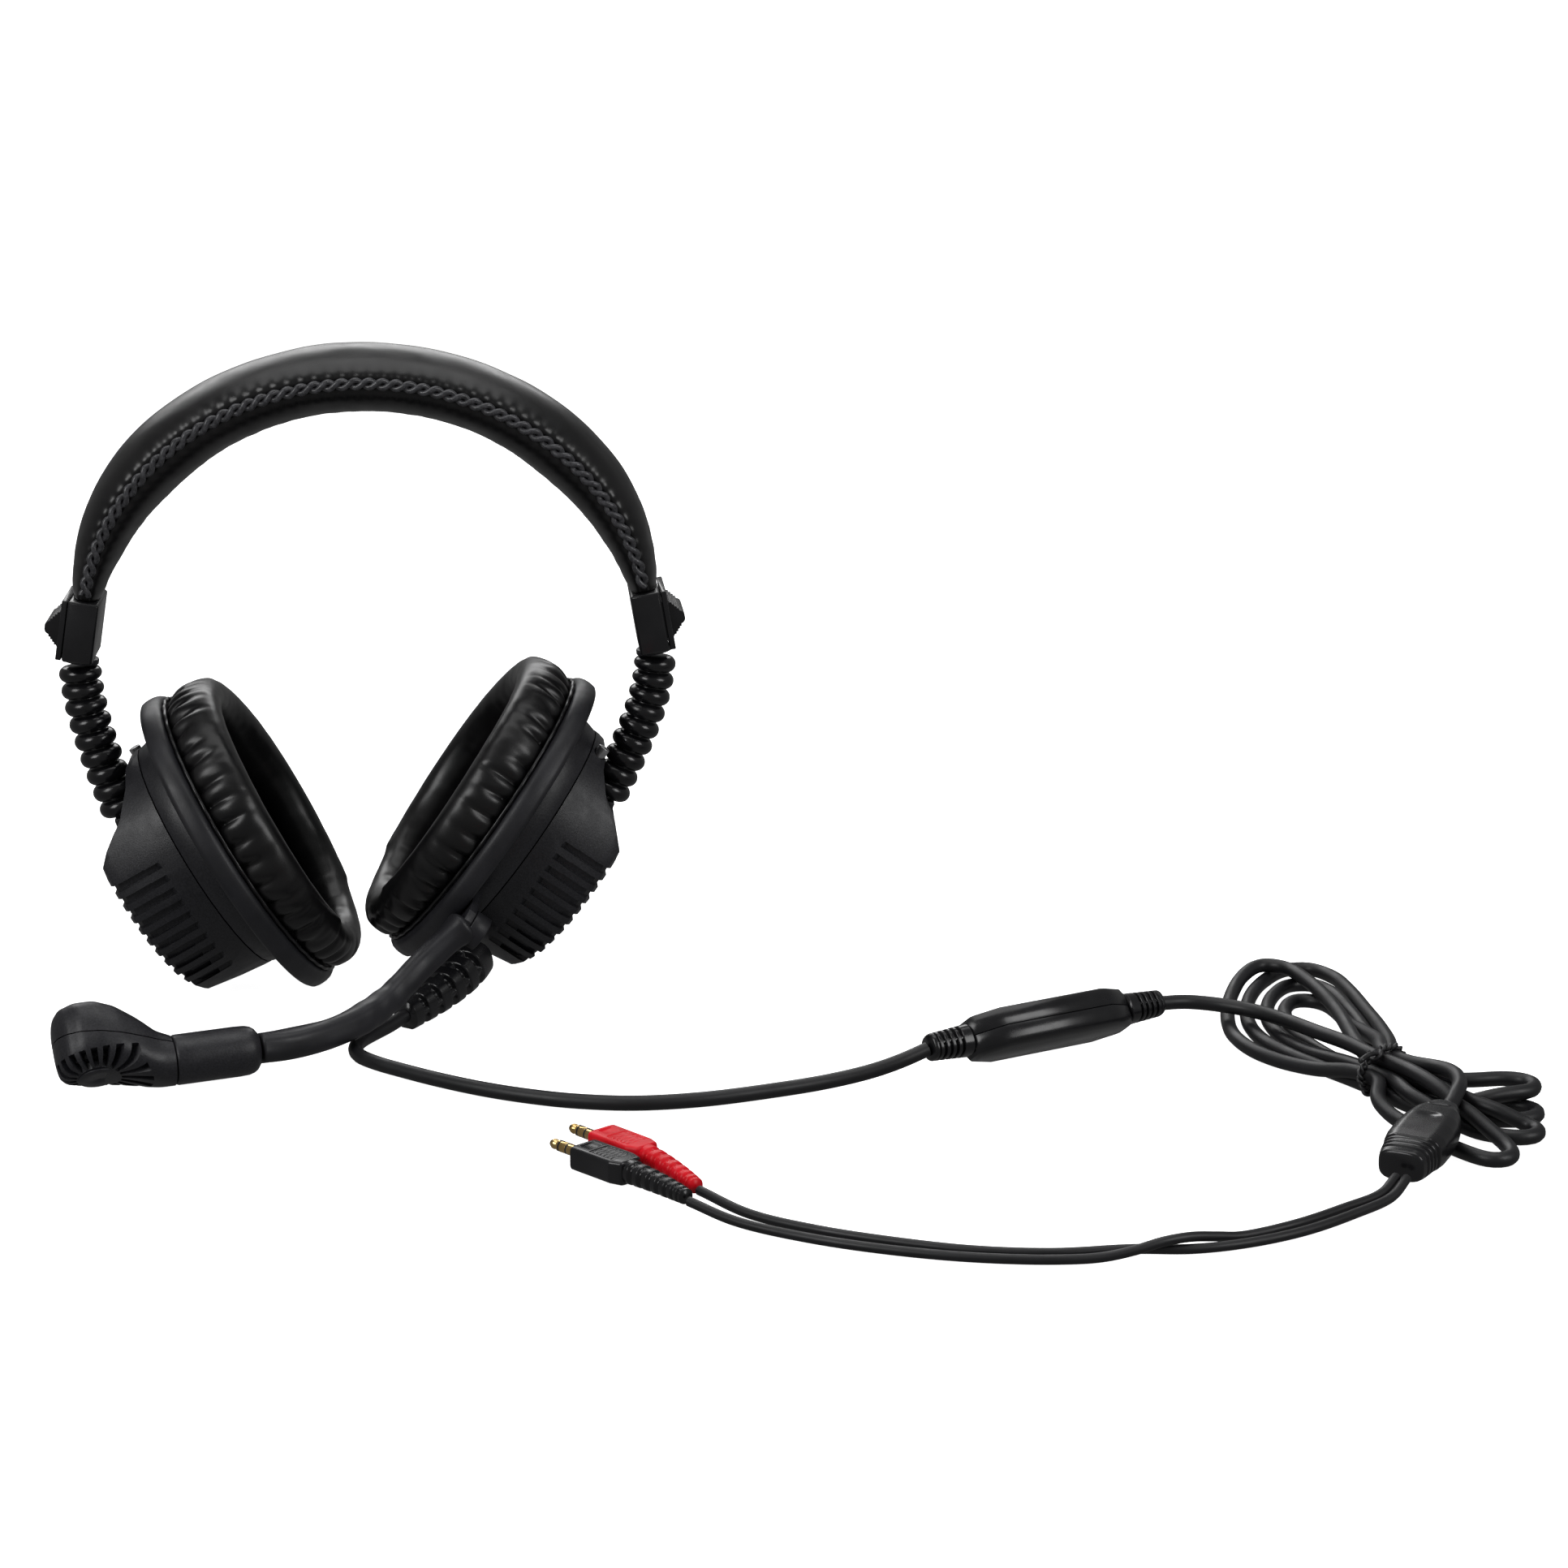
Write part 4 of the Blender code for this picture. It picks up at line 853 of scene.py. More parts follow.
def boom_radius(t, angle):
    """The sleeve's radius: a domed root, folds along it and a thicker far half."""
    dome = 5.6 * (1.0 - sqrt(1.0 - max(0.0, 1.0 - t / 0.035) ** 2))
    root = 1.9 * exp(-(t / 0.055) ** 2) - dome
    fold = 0.22 * sin(angle * 4 + 5.0 * wander(t * 3.0, 0.0, 1.0))
    small = 0.18 * wander(cos(angle) * 2.4, sin(angle) * 2.4, t * 5.0)
    gather = 0.12 * sin(t * 70.0 + 2.0 * sin(angle)) * exp(-((t - 0.45) / 0.12) ** 2)
    far = min(1.0, max(0.0, (t - 0.40) / 0.18))
    return 4.55 + 0.5 * far * far * (3.0 - 2.0 * far) + root + fold + small + gather


def boom():
    """The soft sleeve of the boom, one skin over both lengths."""
    route = smooth_route([Vector(BOOM_ROOT), *BOOM_POINTS], 0.8)
    sleeve = sweep("boom_soft_sleeve", [at(*p) for p in route], boom_radius, LOOKS["rubber"], 36)
    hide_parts("boom_tube_upper", "boom_tube_lower")
    before, bend, after = (Vector(p) for p in BOOM_POINTS[2:5])
    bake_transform(sleeve)


def head_spot(x, y, z):
    """A point of the microphone's own axes: x back along the sleeve, z up out of the grille."""
    along = (SLEEVE_START - SLEEVE_END).normalized()
    up = (HEAD_UP - HEAD_UP.dot(along) * along).normalized()
    across = up.cross(along)
    return at(*(SLEEVE_END + along * x + across * y + up * z))


# The head's sections from its tip: x, half width, lowest and highest z
HEAD_SECTIONS = ((-35.6, 2.4, 2.2, 14.0), (-35.0, 5.2, -0.8, 18.0), (-32.8, 8.7, -2.2, 20.6),
                 (-28.4, 12.1, -2.5, 21.7), (-22.4, 13.5, -2.7, 21.3), (-16.4, 12.9, -3.7, 18.9),
                 (-10.4, 11.0, -5.4, 14.6), (-4.4, 8.7, -7.5, 9.6), (0.0, 8.0, -8.0, 8.0))
GRILLE_MIDDLE = -23.4
GRILLE_SLOTS = 20


def head_skin(name):
    marks = np.concatenate([np.linspace(-35.6, -32.0, 14), np.linspace(-31.4, 0.0, 46)])
    keys = np.array(HEAD_SECTIONS)
    smooth = np.array([(x, *(np.interp(x, keys[:, 0], keys[:, c]) for c in (1, 2, 3)))
                       for x in marks])
    for _ in range(3):
        smooth[1:-1, 1:] = 0.25 * smooth[:-2, 1:] + 0.5 * smooth[1:-1, 1:] + 0.25 * smooth[2:, 1:]
    rows = []
    for x, half_width, low, high in smooth:
        power = 2.0 + 0.8 * min(1.0, max(0.0, -x / 8.0))
        rows.append([head_spot(x, a, b + (low + high) / 2.0)
                     for a, b in superellipse(half_width, (high - low) / 2.0, 72, power)])
    return skin(name, rows, LOOKS["plastic"])


def grille_slot(index):
    turn = tau * (index + 0.5) / GRILLE_SLOTS
    c, s = cos(turn), sin(turn)
    outline = [(GRILLE_MIDDLE + a * c - b * s, a * s + b * c)
               for a, b in ((6.9, -0.72), (16.5, -1.35), (16.5, 1.35), (6.9, 0.72))]
    return prism(f"slot_{index}", outline, -9.0, 2.6, head_spot, LOOKS["plastic"])


def microphone():
    length = (SLEEVE_START - SLEEVE_END).length
    profile = [(0.6, length), (4.4, length), (5.3, length - 0.25), (6.6, length - 1.2),
               (7.4, length - 2.4), (7.85, length - 4.0), (8.0, length - 7.0), (8.0, 12.0),
               (8.0, 6.0), (8.0, 1.2), (7.7, 0.5), (7.2, 0.3), (0.6, 0.3)]
    sleeve = turned("mic_joint_sleeve", profile, head_spot, 48, LOOKS["plastic"])
    goes(sleeve, "boom_lower", "textured_plastic", "mic_sleeve")

    # the head is two halves with a fine gap between them
    def half_space(name, far, close, closer):
        outline = [(6.0, far), (6.0, close[0]), (4.0, close[1]), (-40.0, closer), (-44.0, closer),
                   (-44.0, far)]
        return prism(name, outline, -30.0, 30.0, lambda a, b, t: head_spot(a, t, b), None)

    rear, front = head_skin("mic_head_back"), head_skin("mic_head_front")
    below = half_space("below", -30.0, (2.28, 2.6), 11.0)
    above = half_space("above", 30.0, (2.3, 2.25), 10.65)
    cavity = skin("cavity", [[head_spot(GRILLE_MIDDLE + 9.6 * cos(a), 9.6 * sin(a), z)
                              for a in turns(48)] for z in (0.4, 20.0)], None)
    comb = joined("slot_comb", [grille_slot(i) for i in range(GRILLE_SLOTS)])
    carve(rear, below)
    carve(front, above, cavity, comb)
    for cutter in (below, above, cavity, comb):
        bpy.data.objects.remove(cutter)
    for half, node in ((rear, "mic_head_rear"), (front, "mic_head_grille")):
        soften(half, 0.22, 40.0)
        goes(half, "microphone", "textured_plastic", node)

    # flat hub of the grille, a shade proud of the slots
    profile = [(0.05, -2.3), (6.5, -2.3), (6.5, -2.65), (6.3, -2.85), (0.05, -2.85)]
    rows = [[head_spot(GRILLE_MIDDLE + r * cos(a), r * sin(a), z) for r, z in profile]
            for a in turns(64)]
    disc = skin("mic_grille_hub", rows, LOOKS["plastic"], ring=True)
    goes(disc, "microphone", "textured_plastic")


# ---- cords ----

LOW = 2.35                    # the middle of a cord that lies on the table
TIE_STEPS = 320
CORD_A = ((10.2, -57.3, 4.3), (5.2, -63.6, 3.0), (0.2, -70.2, 2.4), (-3.6, -77.2, LOW),
          (-5.2, -84.6, LOW), (-3.6, -92.6, LOW), (1.8, -100.2, LOW), (10.6, -108.8, LOW),
          (22.0, -118.8, LOW), (36.0, -129.2, LOW), (50.0, -137.2, LOW), (64.0, -143.0, LOW),
          (82.0, -146.6, LOW), (102.0, -145.2, LOW), (122.7, -139.6, 2.4), (143.8, -133.0, 3.0),
          (158.0, -129.9, 5.0), (167.5, -127.8, 7.4), (176.0, -124.7, 9.9))
BRANCH_BLACK = ((298.2, -235.9, 4.2), (292.0, -243.2, 2.0), (279.0, -252.4, 1.5),
                (262.4, -263.6, 1.5), (245.0, -271.8, 1.7), (237.4, -275.2, 3.2),
                (229.6, -278.4, 4.6), (221.4, -281.2, 4.6), (213.0, -283.0, 3.0),
                (204.0, -284.0, 1.7),
                (191.0, -284.2, 1.5), (169.0, -280.6, 1.5), (147.6, -273.4, 1.5),
                (126.0, -262.6, 1.5), (106.2, -248.0, 1.6), (93.8, -235.4, 3.2))
BRANCH_RED = ((300.9, -237.4, 4.2), (294.8, -245.4, 1.9), (280.6, -257.2, 1.5),
              (262.8, -269.4, 1.5), (245.0, -276.8, 1.5), (229.6, -279.6, 1.5),
              (213.4, -278.2, 1.5), (191.4, -279.2, 1.5), (169.8, -275.4, 1.5),
              (149.4, -267.4, 1.5), (128.6, -256.4, 1.5), (110.4, -242.4, 1.6),
              (97.2, -226.6, 3.2))

TIE_MIDDLE = Vector((317.0, -150.0, 0.0))
TIE_ACROSS = Vector((0.893, 0.45, 0.0))
TIE_ALONG = Vector((0.45, -0.893, 0.0))


def in_tie(across, z, way):
    """A point just before (way -1) or just after (way 1) the tie."""
    spot = TIE_MIDDLE + TIE_ACROSS * across + TIE_ALONG * 6.0 * way
    return (spot.x, spot.y, z)


HANK = (
    # in over the left loops and through the tie
    (258.7, -83.8, 10.1), (268, -80.8, 9.4), (279, -83.0, 8.7), (289, -90, 8.5), (297, -102, 8.8),
    (304, -118, 9.6), (310, -132, 10.4), in_tie(0, 10.65, -1), in_tie(0, 10.65, 1),
    # lowest loop on the right
    (322.3, -163, 11), (325.3, -174, 11), (329, -186, 9.6), (334, -198, 6.2), (338.7, -209, 3),
    (337.5, -218, 2.4), (331.5, -220, LOW), (326, -213.5, LOW), (320.5, -203, LOW),
    (315.5, -190, LOW), (311.5, -177, 2.8), (310.5, -166, 4.8), in_tie(-7.2, 6.5, 1),
    in_tie(-7.2, 6.5, -1),
    # outermost loop on the left
    (300, -138, 4), (292, -127, 2.6), (284.5, -114, LOW), (281, -97, LOW), (283, -77, LOW),
    (288.5, -57, 3.5), (296, -42, 6), (304, -34.5, 7.2), (311, -38, 7.2), (315, -52, 7.2),
    (317, -72, 7.2), (317, -95, 7.2), (315.8, -114, 7), (315.5, -131, 6.6), in_tie(2.4, 6.5, -1),
    in_tie(2.4, 6.5, 1),
    # second on the right
    (326, -164, 7.9), (331, -175, 8.3), (337.5, -184, 7.2), (344.5, -188, 4.4),
    (350.5, -190.5, 2.6),
    (352.5, -196.5, LOW), (347.5, -201.5, LOW), (339, -199, LOW), (331, -192.5, 3.0),
    (324.5, -183, 5.6), (319, -171, 6.8), in_tie(-2.4, 6.5, 1), in_tie(-2.4, 6.5, -1),
    # third loop on the left
    (306.5, -132, 5), (301, -117, 3), (296.5, -101, LOW), (295.5, -84, LOW), (299, -66, LOW),
    (305, -52, LOW), (312, -43.5, LOW), (319.5, -43.5, LOW), (324, -53, LOW), (325.2, -72, LOW),
    (324.8, -95, LOW), (322.8, -120, LOW), in_tie(4.8, LOW, -1), in_tie(4.8, LOW, 1),
    # third on the right
    (330, -163, LOW), (338, -169, LOW), (347, -171, LOW), (354.5, -173.5, LOW),
    (357.5, -179.5, LOW), (352, -185.5, LOW), (342, -186, LOW), (333, -182.5, LOW),
    (324, -175, LOW), (318.2, -166.5, LOW), in_tie(-4.8, LOW, 1), in_tie(-4.8, LOW, -1),
    # second loop on the left
    (302.5, -133, LOW), (295, -119, LOW), (289.5, -103, LOW), (288.5, -86, LOW),
    (292, -66, LOW), (298.5, -48, LOW), (306, -35, LOW), (314.5, -25.5, LOW), (323, -25, LOW),
    (328.7, -35, 2.5), (330.2, -52, 3), (330, -75, 3.5), (329, -100, 4.5), (326.3, -122, 5.8),
    in_tie(7.2, 6.5, -1), in_tie(7.2, 6.5, 1),
    # highest on the right
    (333, -159.5, 7), (343, -161.5, 7.2), (353, -161, 7.2), (359.3, -165.5, 7.2), (357, -173, 7.2),
    (347, -175.5, 7.1), (338.5, -176.2, 5.6), (331, -173, 2.9), (325, -166.5, LOW),
    in_tie(0, LOW, 1), in_tie(0, LOW, -1),
    # innermost loop on the left
    (309.5, -130, LOW), (304.8, -114, LOW), (301.8, -98, LOW), (301.8, -82, LOW),
    (304.5, -69, LOW), (310.5, -60.5, LOW), (317, -63, LOW), (320.3, -74, LOW),
    (320.8, -90, 3.2), (321.5, -108, 6.0), (321, -128, 9.4), in_tie(4.8, 10.65, -1),
    in_tie(4.8, 10.65, 1),
    # and out over the runs into the splitter
    (329.5, -161.5, 11.9), (332.6, -171, 13.2), (332.0, -181, 13.2), (327.8, -190.4, 11.4),
    (323.2, -197.2, 9.8),
)


SETTLING_ROUNDS = 160


def settled(route):
    """The hank's route with its turns pushed apart to a cord's width and laid on each other."""
    guide = np.array([p[:] for p in route])
    here = guide.copy()
    count = len(here)
    index = np.arange(count)
    apart = np.abs(index[:, None] - index[None, :]) > 7
    for _ in range(SETTLING_ROUNDS):
        delta = here[:, None, :] - here[None, :, :]
        gap = np.linalg.norm(delta, axis=2)
        close = apart & (gap < CORD_PITCH)
        push = np.where(close, (CORD_PITCH - gap) * 0.5, 0.0)
        unit = delta / np.maximum(gap, 1e-6)[:, :, None]
        many = np.maximum(1, close.sum(1))[:, None]
        move = (unit * push[:, :, None]).sum(1) / many ** 0.5
        here = here + move
        bend = np.zeros_like(here)
        bend[2:-2] = (-here[:-4] + 4 * here[1:-3] - 6 * here[2:-2]
                      + 4 * here[3:-1] - here[4:]) / 16.0
        here = here + bend * 0.9
        here = here + (guide - here) * 0.02
        here[:, 2] = np.maximum(here[:, 2], 2.4)
        here[:3] = guide[:3]
        here[-3:] = guide[-3:]
    return [Vector(p) for p in here]


def cord_curve(name, route, diameter, look):
    curve = bpy.data.curves.new(name, "CURVE")
    curve.dimensions = "3D"
    curve.bevel_depth = diameter / 2.0 * MM
    curve.bevel_resolution = 5
    curve.use_fill_caps = True
    spline = curve.splines.new("POLY")
    spline.points.add(len(route) - 1)
    for spot, point in zip(spline.points, route):
        spot.co = (*at(*point), 1.0)
    spline.use_smooth = True
    curve.materials.append(look)
    obj = bpy.data.objects.new(name, curve)
    bpy.context.scene.collection.objects.link(obj)
    return obj


def tie_outline(route):
    """The taut line round the runs in the tie: even (across, up) points, and their middle."""
    inside = []
    for a, b in zip(route, route[1:]):
        da, db = (a - TIE_MIDDLE).dot(TIE_ALONG), (b - TIE_MIDDLE).dot(TIE_ALONG)
        if da * db <= 0.0 and (a - TIE_MIDDLE).length < 26.0:
            spot = a.lerp(b, da / (da - db) if da != db else 0.0)
            inside.append(((spot - TIE_MIDDLE).dot(TIE_ACROSS), spot.z))
    reach = CORD_D / 2.0 + 1.0
    ways = [(cos(angle), sin(angle)) for angle in turns(96)]
    ring = [(way, max(a * way[0] + z * way[1] for a, z in inside) + reach) for way in ways]
    outline = []
    for (w0, s0), (w1, s1) in zip(ring, ring[1:] + ring[:1]):
        cross = w0[0] * w1[1] - w0[1] * w1[0]
        outline.append(((s0 * w1[1] - s1 * w0[1]) / cross, (w0[0] * s1 - w1[0] * s0) / cross))
    outline.append(outline[0])
    marks = [0.0]
    for a, b in zip(outline, outline[1:]):
        marks.append(marks[-1] + dist(a, b))
    even = [marks[-1] * k / TIE_STEPS for k in range(TIE_STEPS)]
    fine = [tuple(float(np.interp(m, marks, [p[c] for p in outline])) for c in (0, 1))
            for m in even]
    middle = Vector([sum(p[c] for p in inside) / len(inside) for c in (0, 1)])
    return fine, middle


def in_bundle(across, along, up):
    """A vector written in the tie's axes."""
    return TIE_ACROSS * across + TIE_ALONG * along + UP * up


def tie_strand(strand, fine, middle):
    rows = []
    for k, (a, z) in enumerate(fine):
        out = (Vector((a, z)) - middle).normalized()
        slant = -1.6 * sin(tau * k / TIE_STEPS + 0.4)
        turn = tau * 13.0 * k / TIE_STEPS + strand * pi
        centre = (TIE_MIDDLE + in_bundle(a, slant, max(z, 1.35))
                  + (in_bundle(out.x, 0, out.y) * cos(turn) + TIE_ALONG * sin(turn)) * 0.62)
        after = fine[(k + 1) % TIE_STEPS]
        way = in_bundle(after[0] - a, 0, after[1] - z).normalized()
        side = way.cross(TIE_ALONG).normalized()
        rows.append([at(*(centre + side * cos(t) * 0.68 + TIE_ALONG * sin(t) * 0.68))
                     for t in turns(8)])
    return skin(f"tie_strand_{strand}", rows, LOOKS["band"], ring=True)


def tie(route):
    """A twisted rubber ring round the bundle, knotted on top with a short tail."""
    fine, middle = tie_outline(route)
    pieces = [tie_strand(strand, fine, middle) for strand in (0, 1)]
    top = max(fine, key=lambda p: p[1] - 0.6 * abs(p[0] - middle.x + 4.5))
    knot_at = TIE_MIDDLE + in_bundle(top[0], 0, top[1] + 0.7)
    knot = []
    for k in range(61):
        t = tau * k / 60
        knot.append(at(*(knot_at + in_bundle(2.1 * sin(t) + 0.4 * sin(3 * t), 1.7 * cos(2 * t),
                                             0.9 * sin(3 * t)))))
    tail = [at(*(knot_at + in_bundle(-0.5 - 1.15 * k, 1.2 + 0.35 * k,
                                     0.9 + 0.32 * k - 0.045 * k * k))) for k in range(9)]
    pieces.append(sweep("tie_knot", knot, 0.85, LOOKS["band"], 8))
    pieces.append(sweep("tie_tail", tail, 0.8, LOOKS["band"], 8))
    return goes(joined("rubber_tie", pieces), "left_cup", "matte_rubber", "cord_tie")


def strain_relief():
    """The ribbed, tapered relief under the left cup."""
    start = Vector((32.6, -27.4, 15.2))
    end = Vector(CORD_A[0])
    ahead = (Vector(CORD_A[1]) - end).normalized()
    end = end - ahead * 0.3
    route = (start, start + Vector((-4.0, -11.0, -5.0)), end - ahead * 12.0, end)
    ribs = 6

    def section(t):
        size = 7.5 + (5.0 - 7.5) * t
        cut = groove(t * ribs + 0.1, 0.46, 0.05, t, 0.06, 0.93)
        # the grooves leave a bridge on each of the four sides
        return bridged(superellipse(size, size, 64, 2.6), 0.34 * cut, 0.07 * cut,
                       lambda a, b: min(abs(a), abs(b)) < 0.19 * size)

    piece = loft("cord_relief_ribs", route, 216, section, LOOKS["gloss"])
    goes(piece, "left_cup", "gloss_moulding", "cable_strain_relief")


CASE_CENTRE = Vector((217.3, -104.3, 10.3))
CASE_HALF_LENGTH = 31.0
CASE_HEADING = radians(26.2)
CASE_ROLL = radians(36.0)


def inline_reliefs():
    heading = Vector((cos(CASE_HEADING), sin(CASE_HEADING), 0.0))
    forward = Vector((sin(CASE_HEADING), -cos(CASE_HEADING), 0.0))
    wall_way = forward * cos(CASE_ROLL) + UP * sin(CASE_ROLL)
    flat_way = heading.cross(wall_way)
    for label, way in (("in", -1), ("out", 1)):
        base = CASE_CENTRE + heading * way * CASE_HALF_LENGTH
        rows = []
        for run in [0.35 + (14.35 - 0.35) * i / 140.0 for i in range(141)]:
            size = 5.35 - 0.066 * run
            cut = groove((run - 3.6) / 2.2, 0.56, 0.08, run, 3.6, 13.0)
            size -= 0.5 * (max(0.0, run - 13.4) / 0.95) ** 2
            section = bridged(superellipse(size, size * 0.96, 56, 2.5), 0.28 * cut, 0.05 * cut,
                              lambda a, b: min(abs(a), abs(b)) < 0.16 * size)
            rows.append([at(*(base + heading * way * run + wall_way * a + flat_way * b))
                         for a, b in section])
        piece = skin(f"inline_{label}_ribs", rows, LOOKS["gloss"])
        goes(piece, "left_cup", "gloss_moulding", f"inline_relief_{label}")


SPLITTER_TOP = Vector((323.0, -197.5, 9.6))
SPLITTER_END = Vector((300.4, -232.0, 5.8))
SPLITTER_GROOVES_FROM = 31.2


def splitter():
    """The moulded splitter: collar, flat topped body with a dimple, slotted relief."""
    along = (SPLITTER_END - SPLITTER_TOP).normalized()
    across = along.cross(UP).normalized()
    upward = across.cross(along)
    length = (SPLITTER_END - SPLITTER_TOP).length
    # run from the top, half width, half height
    keys = ((0.0, 4.3, 4.2), (1.6, 5.0, 4.7), (4.2, 5.6, 5.0), (5.4, 6.4, 5.4), (8.0, 7.6, 5.8),
            (14.0, 8.8, 6.1), (20.0, 9.3, 6.15), (27.0, 9.3, 6.0), (30.5, 8.8, 5.8),
            (31.5, 8.4, 5.6), (length - 3.0, 7.4, 5.2), (length - 0.6, 6.8, 4.8),
            (length, 6.0, 4.2))
    marks, widths, heights = zip(*keys)
    rows = []
    for run in [length * i / 150 for i in range(151)]:
        cut = 1.25 * groove((run - SPLITTER_GROOVES_FROM) / 2.15, 0.5, 0.09,
                            run, SPLITTER_GROOVES_FROM, length - 1.4)
        half_w = float(np.interp(run, marks, widths)) - cut
        half_h = float(np.interp(run, marks, heights)) - cut
        row = []
        for a, b in superellipse(half_w, half_h, 72, 3.2):
            if b > 0 and 5.4 < run < 31.0:
                dimple = 0.55 * exp(-(((run - 14.6) / 1.9) ** 2 + (a / 2.6) ** 2) ** 2)
                b = min(b, half_h - 0.45) - dimple
            row.append(at(*(SPLITTER_TOP + along * run + across * a + upward * b)))
        rows.append(row)
    body = skin("splitter_moulding", rows, LOOKS["gloss"])
    goes(body, "left_cup", "gloss_moulding", "cord_splitter")


PLUGS = {
    "black": {"front": (64.8, -194.6), "heading": (0.64, -0.768), "relief_to": (93.0, -233.6)},
    "red": {"front": (70.6, -181.8), "heading": (0.62, -0.785), "relief_to": (96.4, -225.2)},
}
PLUG_LENGTH, PLUG_HALF_WIDTH, PLUG_HALF_THICK = 21.4, 5.45, 3.7

# The pin's parts from its tip, each with its finish: (radius, run)
PIN_PARTS = (
    (((0.05, -14.0), (0.55, -13.98), (1.0, -13.5), (1.5, -12.5), (1.6, -12.0), (1.5, -11.5),
      (1.12, -10.8), (1.1, -10.55), (1.35, -10.3), (1.74, -10.05), (1.74, -9.4)), "gold"),
    (((1.74, -9.4), (1.76, -9.38), (1.76, -8.72), (1.74, -8.7)), "band"),
    (((1.74, -8.7), (1.745, -8.68), (1.745, -6.12), (1.74, -6.1)), "gold"),
    (((1.74, -6.1), (1.76, -6.08), (1.76, -5.42), (1.74, -5.4)), "band"),
    (((1.74, -5.4), (1.745, -5.38), (1.745, -1.2), (2.1, -0.9), (2.1, 0.0), (0.05, 0.0)), "gold"),
)


def plug_block(name, spot, look):
    """A rounded block; each flat has a square well by the pin and a panel of raised dots."""
    rows = []
    for i in range(151):
        run = 0.3 + (PLUG_LENGTH - 0.3) * i / 150.0
        ends = min(1.0, (run - 0.3) / 0.7, (PLUG_LENGTH - run) / 0.7)
        trim = 0.6 * (1.0 - sqrt(max(0.0, 1.0 - (1.0 - ends) ** 2)))
        neck = max(0.0, (run - (PLUG_LENGTH - 4.0)) / 4.0) * 1.4
        row = []
        for a, b in superellipse(PLUG_HALF_WIDTH - trim - neck, PLUG_HALF_THICK - trim, 128, 6.5):
            if abs(b) > PLUG_HALF_THICK * 0.6:
                well = min(run - 1.9, 6.0 - run, 2.3 - abs(a))
                panel = min(run - 7.4, 17.6 - run, 3.8 - abs(a))
                sink = 0.55 / (1.0 + exp(-well * 14.0)) + 0.32 / (1.0 + exp(-panel * 14.0))
                dots = cos(tau * (run - 8.2) / 1.6) + cos(tau * a / 1.6)
                sink -= 0.26 * max(0.0, dots - 0.7) if panel > 0.3 else 0.0
                b = copysign(abs(b) - sink, b)
            row.append(spot(run, a, b))
        rows.append(row)
    return skin(f"plug_{name}_block", rows, look)


def plug_relief(name, spot, local, look):
    """The ribbed relief from the block to local, the point where the cord comes out."""
    route = (Vector((PLUG_LENGTH - 2.0, 0, 0)), Vector((PLUG_LENGTH + 8.0, 0, 0)),
             local - Vector((4.0, copysign(1.0, local.y), 0)), local)

    def section(t):
        size = 3.65 - (3.65 - 2.25) * t
        cut = groove(t * 8.0, 0.5, 0.09, t, 0.12, 0.95)
        return bridged(superellipse(size, size, 40, 2.4), 0.30 * cut, 0.06 * cut,
                       lambda a, b: abs(a) < 0.2 * size)

    return loft(f"plug_{name}_relief", route, 120, section, look, spot)


def plugs():
    for name, spec in PLUGS.items():
        look = LOOKS["gloss" if name == "black" else "red"]
        slot = "gloss_moulding" if name == "black" else "red_moulding"
        heading = Vector((*spec["heading"], 0.0)).normalized()
        across = UP.cross(heading)
        front = Vector((*spec["front"], 3.7))

        def spot(run, a, b):
            return at(*(front + heading * run + across * a + UP * b))

        tail = Vector((*spec["relief_to"], 4.0)) - front
        local = Vector((tail.dot(heading), tail.dot(across), tail.dot(UP)))
        whole = joined(f"plug_{name}_moulding", [plug_block(name, spot, look),
                                                 plug_relief(name, spot, local, look)])
        goes(whole, "left_cup", slot, f"plug_{name}_body")

        # contact pin: tip, two insulating rings and sleeve
        parts = [turned(f"pin_{name}_{k}", part, spot, 32, LOOKS[finish], caps=False)
                 for k, (part, finish) in enumerate(PIN_PARTS)]
        pin = joined(f"plug_{name}_contact", parts)
        split = pin.modifiers.new("edges", "EDGE_SPLIT")
        split.split_angle = radians(38.0)
        goes(pin, "left_cup", "gold_plating", f"plug_{name}_pin")


def cords():
    route = smooth_route(CORD_A, 2.5)
    main = cord_curve("cord_to_case", route, CORD_D, LOOKS["cord"])
    goes(main, "left_cup", "matte_rubber", "main_cord")
    tuple(at(*CORD_A[0]))
    round(route_length(route) * MM, 3)

    route = settled(smooth_route(HANK, 2.0))
    hank = cord_curve("cord_in_hank", route, CORD_D, LOOKS["cord"])
    goes(hank, "left_cup", "matte_rubber", "hank_lead_in", "cord_hank")
    ring = tie(route)
    tuple(at(*HANK[0]))
    round(route_length(route) * MM, 3)

    for name, points in (("black", BRANCH_BLACK), ("red", BRANCH_RED)):
        route = smooth_route(points, 2.0)
        branch = cord_curve(f"cord_to_{name}_plug", route, TWIN_D, LOOKS["cord"])
        goes(branch, "left_cup", "matte_rubber", f"branch_cord_{name}")
        tuple(at(*points[0]))
        round(route_length(route) * MM, 3)


# ---- studio ----

# The floor is a wide bowl, so that white is behind the object from every side: radius, height in m
FLOOR_RINGS = ((4.0, -0.0004), (12.0, -0.0004), (15.0, 1.0), (16.0, 4.0), (16.0, 13.0))
FLOOR_SIDES = 48

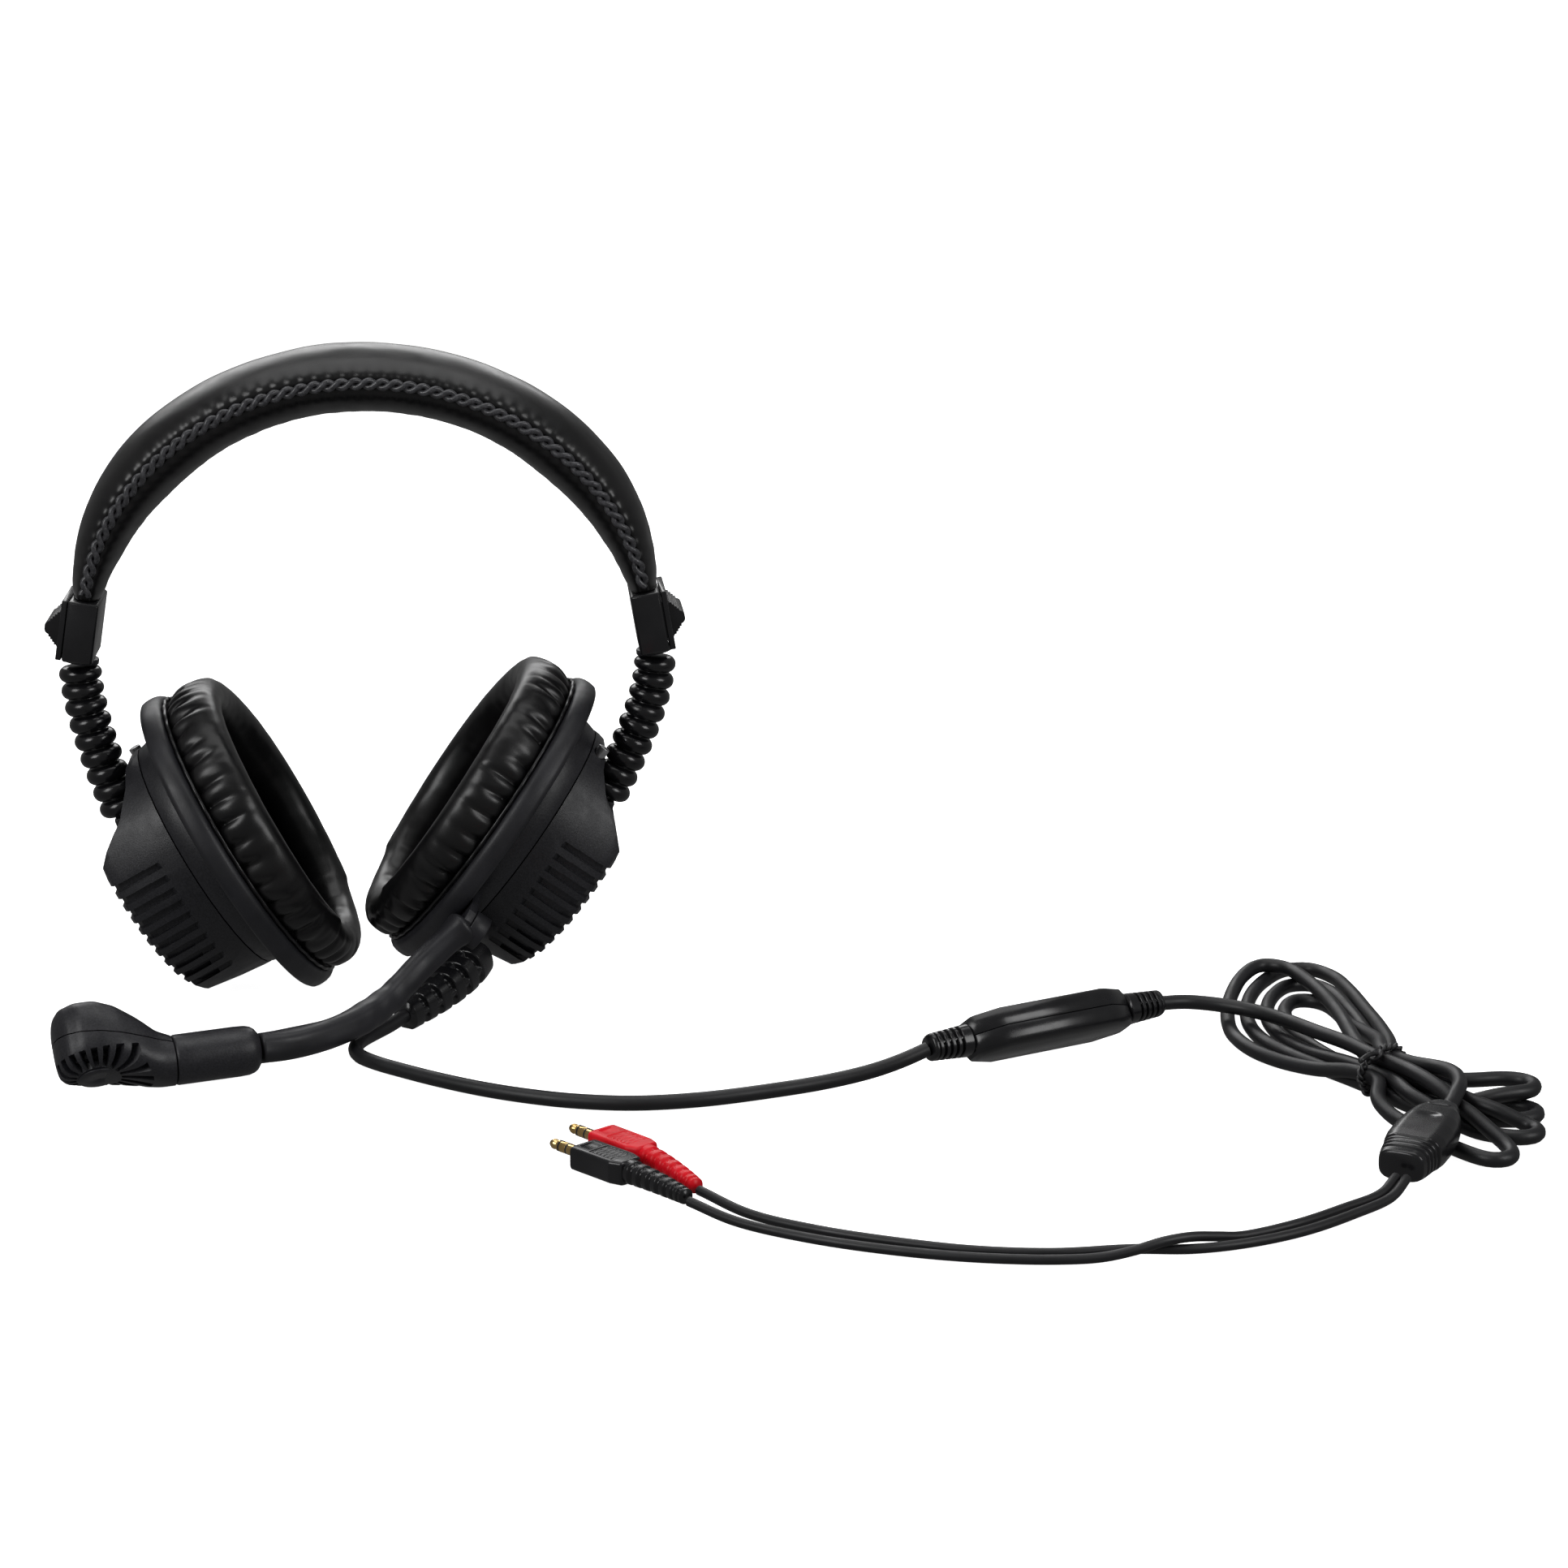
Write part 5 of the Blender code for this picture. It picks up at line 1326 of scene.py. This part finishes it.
# Softboxes: place, target, width, height (m) and power (W)
LAMPS = {
    "overhead": ((0.05, 0.10, 1.5), (0.05, 0.02, 0.05), 1.5, 1.1, 8.0),
    "front_left": ((-1.1, -1.0, 1.0), (0.0, 0.0, 0.08), 0.8, 0.8, 10.0),
    "front_right": ((1.2, -0.9, 0.8), (0.1, 0.0, 0.06), 0.7, 0.7, 6.5),
    "behind": ((-0.1, 1.3, 0.9), (0.0, 0.1, 0.15), 1.4, 0.6, 8.0),
}
WORLD_STRENGTH = 0.16
CAMERA_PLACE = (0.04025, -1.11908, 0.35187)
CAMERA_DOWN, CAMERA_TURN = 13.8, -5.0      # degrees


def floor():
    verts = [(0.0, 0.0, FLOOR_RINGS[0][1])]
    for radius, height in FLOOR_RINGS:
        verts += [(radius * cos(t), radius * sin(t), height) for t in turns(FLOOR_SIDES)]
    after = [(k + 1) % FLOOR_SIDES for k in range(FLOOR_SIDES)]
    faces = [(0, 1 + k, 1 + j) for k, j in enumerate(after)]
    for level in range(len(FLOOR_RINGS) - 1):
        low = 1 + level * FLOOR_SIDES
        high = low + FLOOR_SIDES
        faces += [(low + k, high + k, high + j, low + j) for k, j in enumerate(after)]
    sheet = new_object("studio_floor", verts, faces, LOOKS["floor"], smooth=False)
    # the softboxes and not the floor light the object
    sheet.visible_diffuse = False
    sheet.visible_glossy = False


def studio():
    floor()
    scene = bpy.context.scene
    scene.world = scene.world or bpy.data.worlds.new("studio")
    scene.world.use_nodes = True
    sky = scene.world.node_tree.nodes["Background"]
    sky.inputs["Color"].default_value = (1.0, 1.0, 1.0, 1.0)
    sky.inputs["Strength"].default_value = WORLD_STRENGTH

    for name, (place, target, wide, tall, power) in LAMPS.items():
        data = bpy.data.lights.new(name, "AREA")
        data.shape = "RECTANGLE"
        data.size, data.size_y, data.energy = wide, tall, power
        lamp = linked(name, data)
        lamp.location = place
        lamp.rotation_euler = (Vector(target) - Vector(place)).to_track_quat("-Z", "Y").to_euler()

    data = bpy.data.cameras.new("camera")
    data.lens = 79.2
    data.sensor_width = 36.0
    data.clip_end = 120.0
    camera = linked("camera", data)
    camera.location = CAMERA_PLACE
    camera.rotation_euler = (radians(90.0 - CAMERA_DOWN), 0.0, radians(CAMERA_TURN))
    scene.camera = camera
    scene.view_settings.view_transform = "Standard"


studio()
dress_nodes()
headband()
release_buttons()
ear_cushions()
flange_rings()
cup_shells()
bellows()
boom()
microphone()
strain_relief()
inline_reliefs()
splitter()
plugs()
cords()
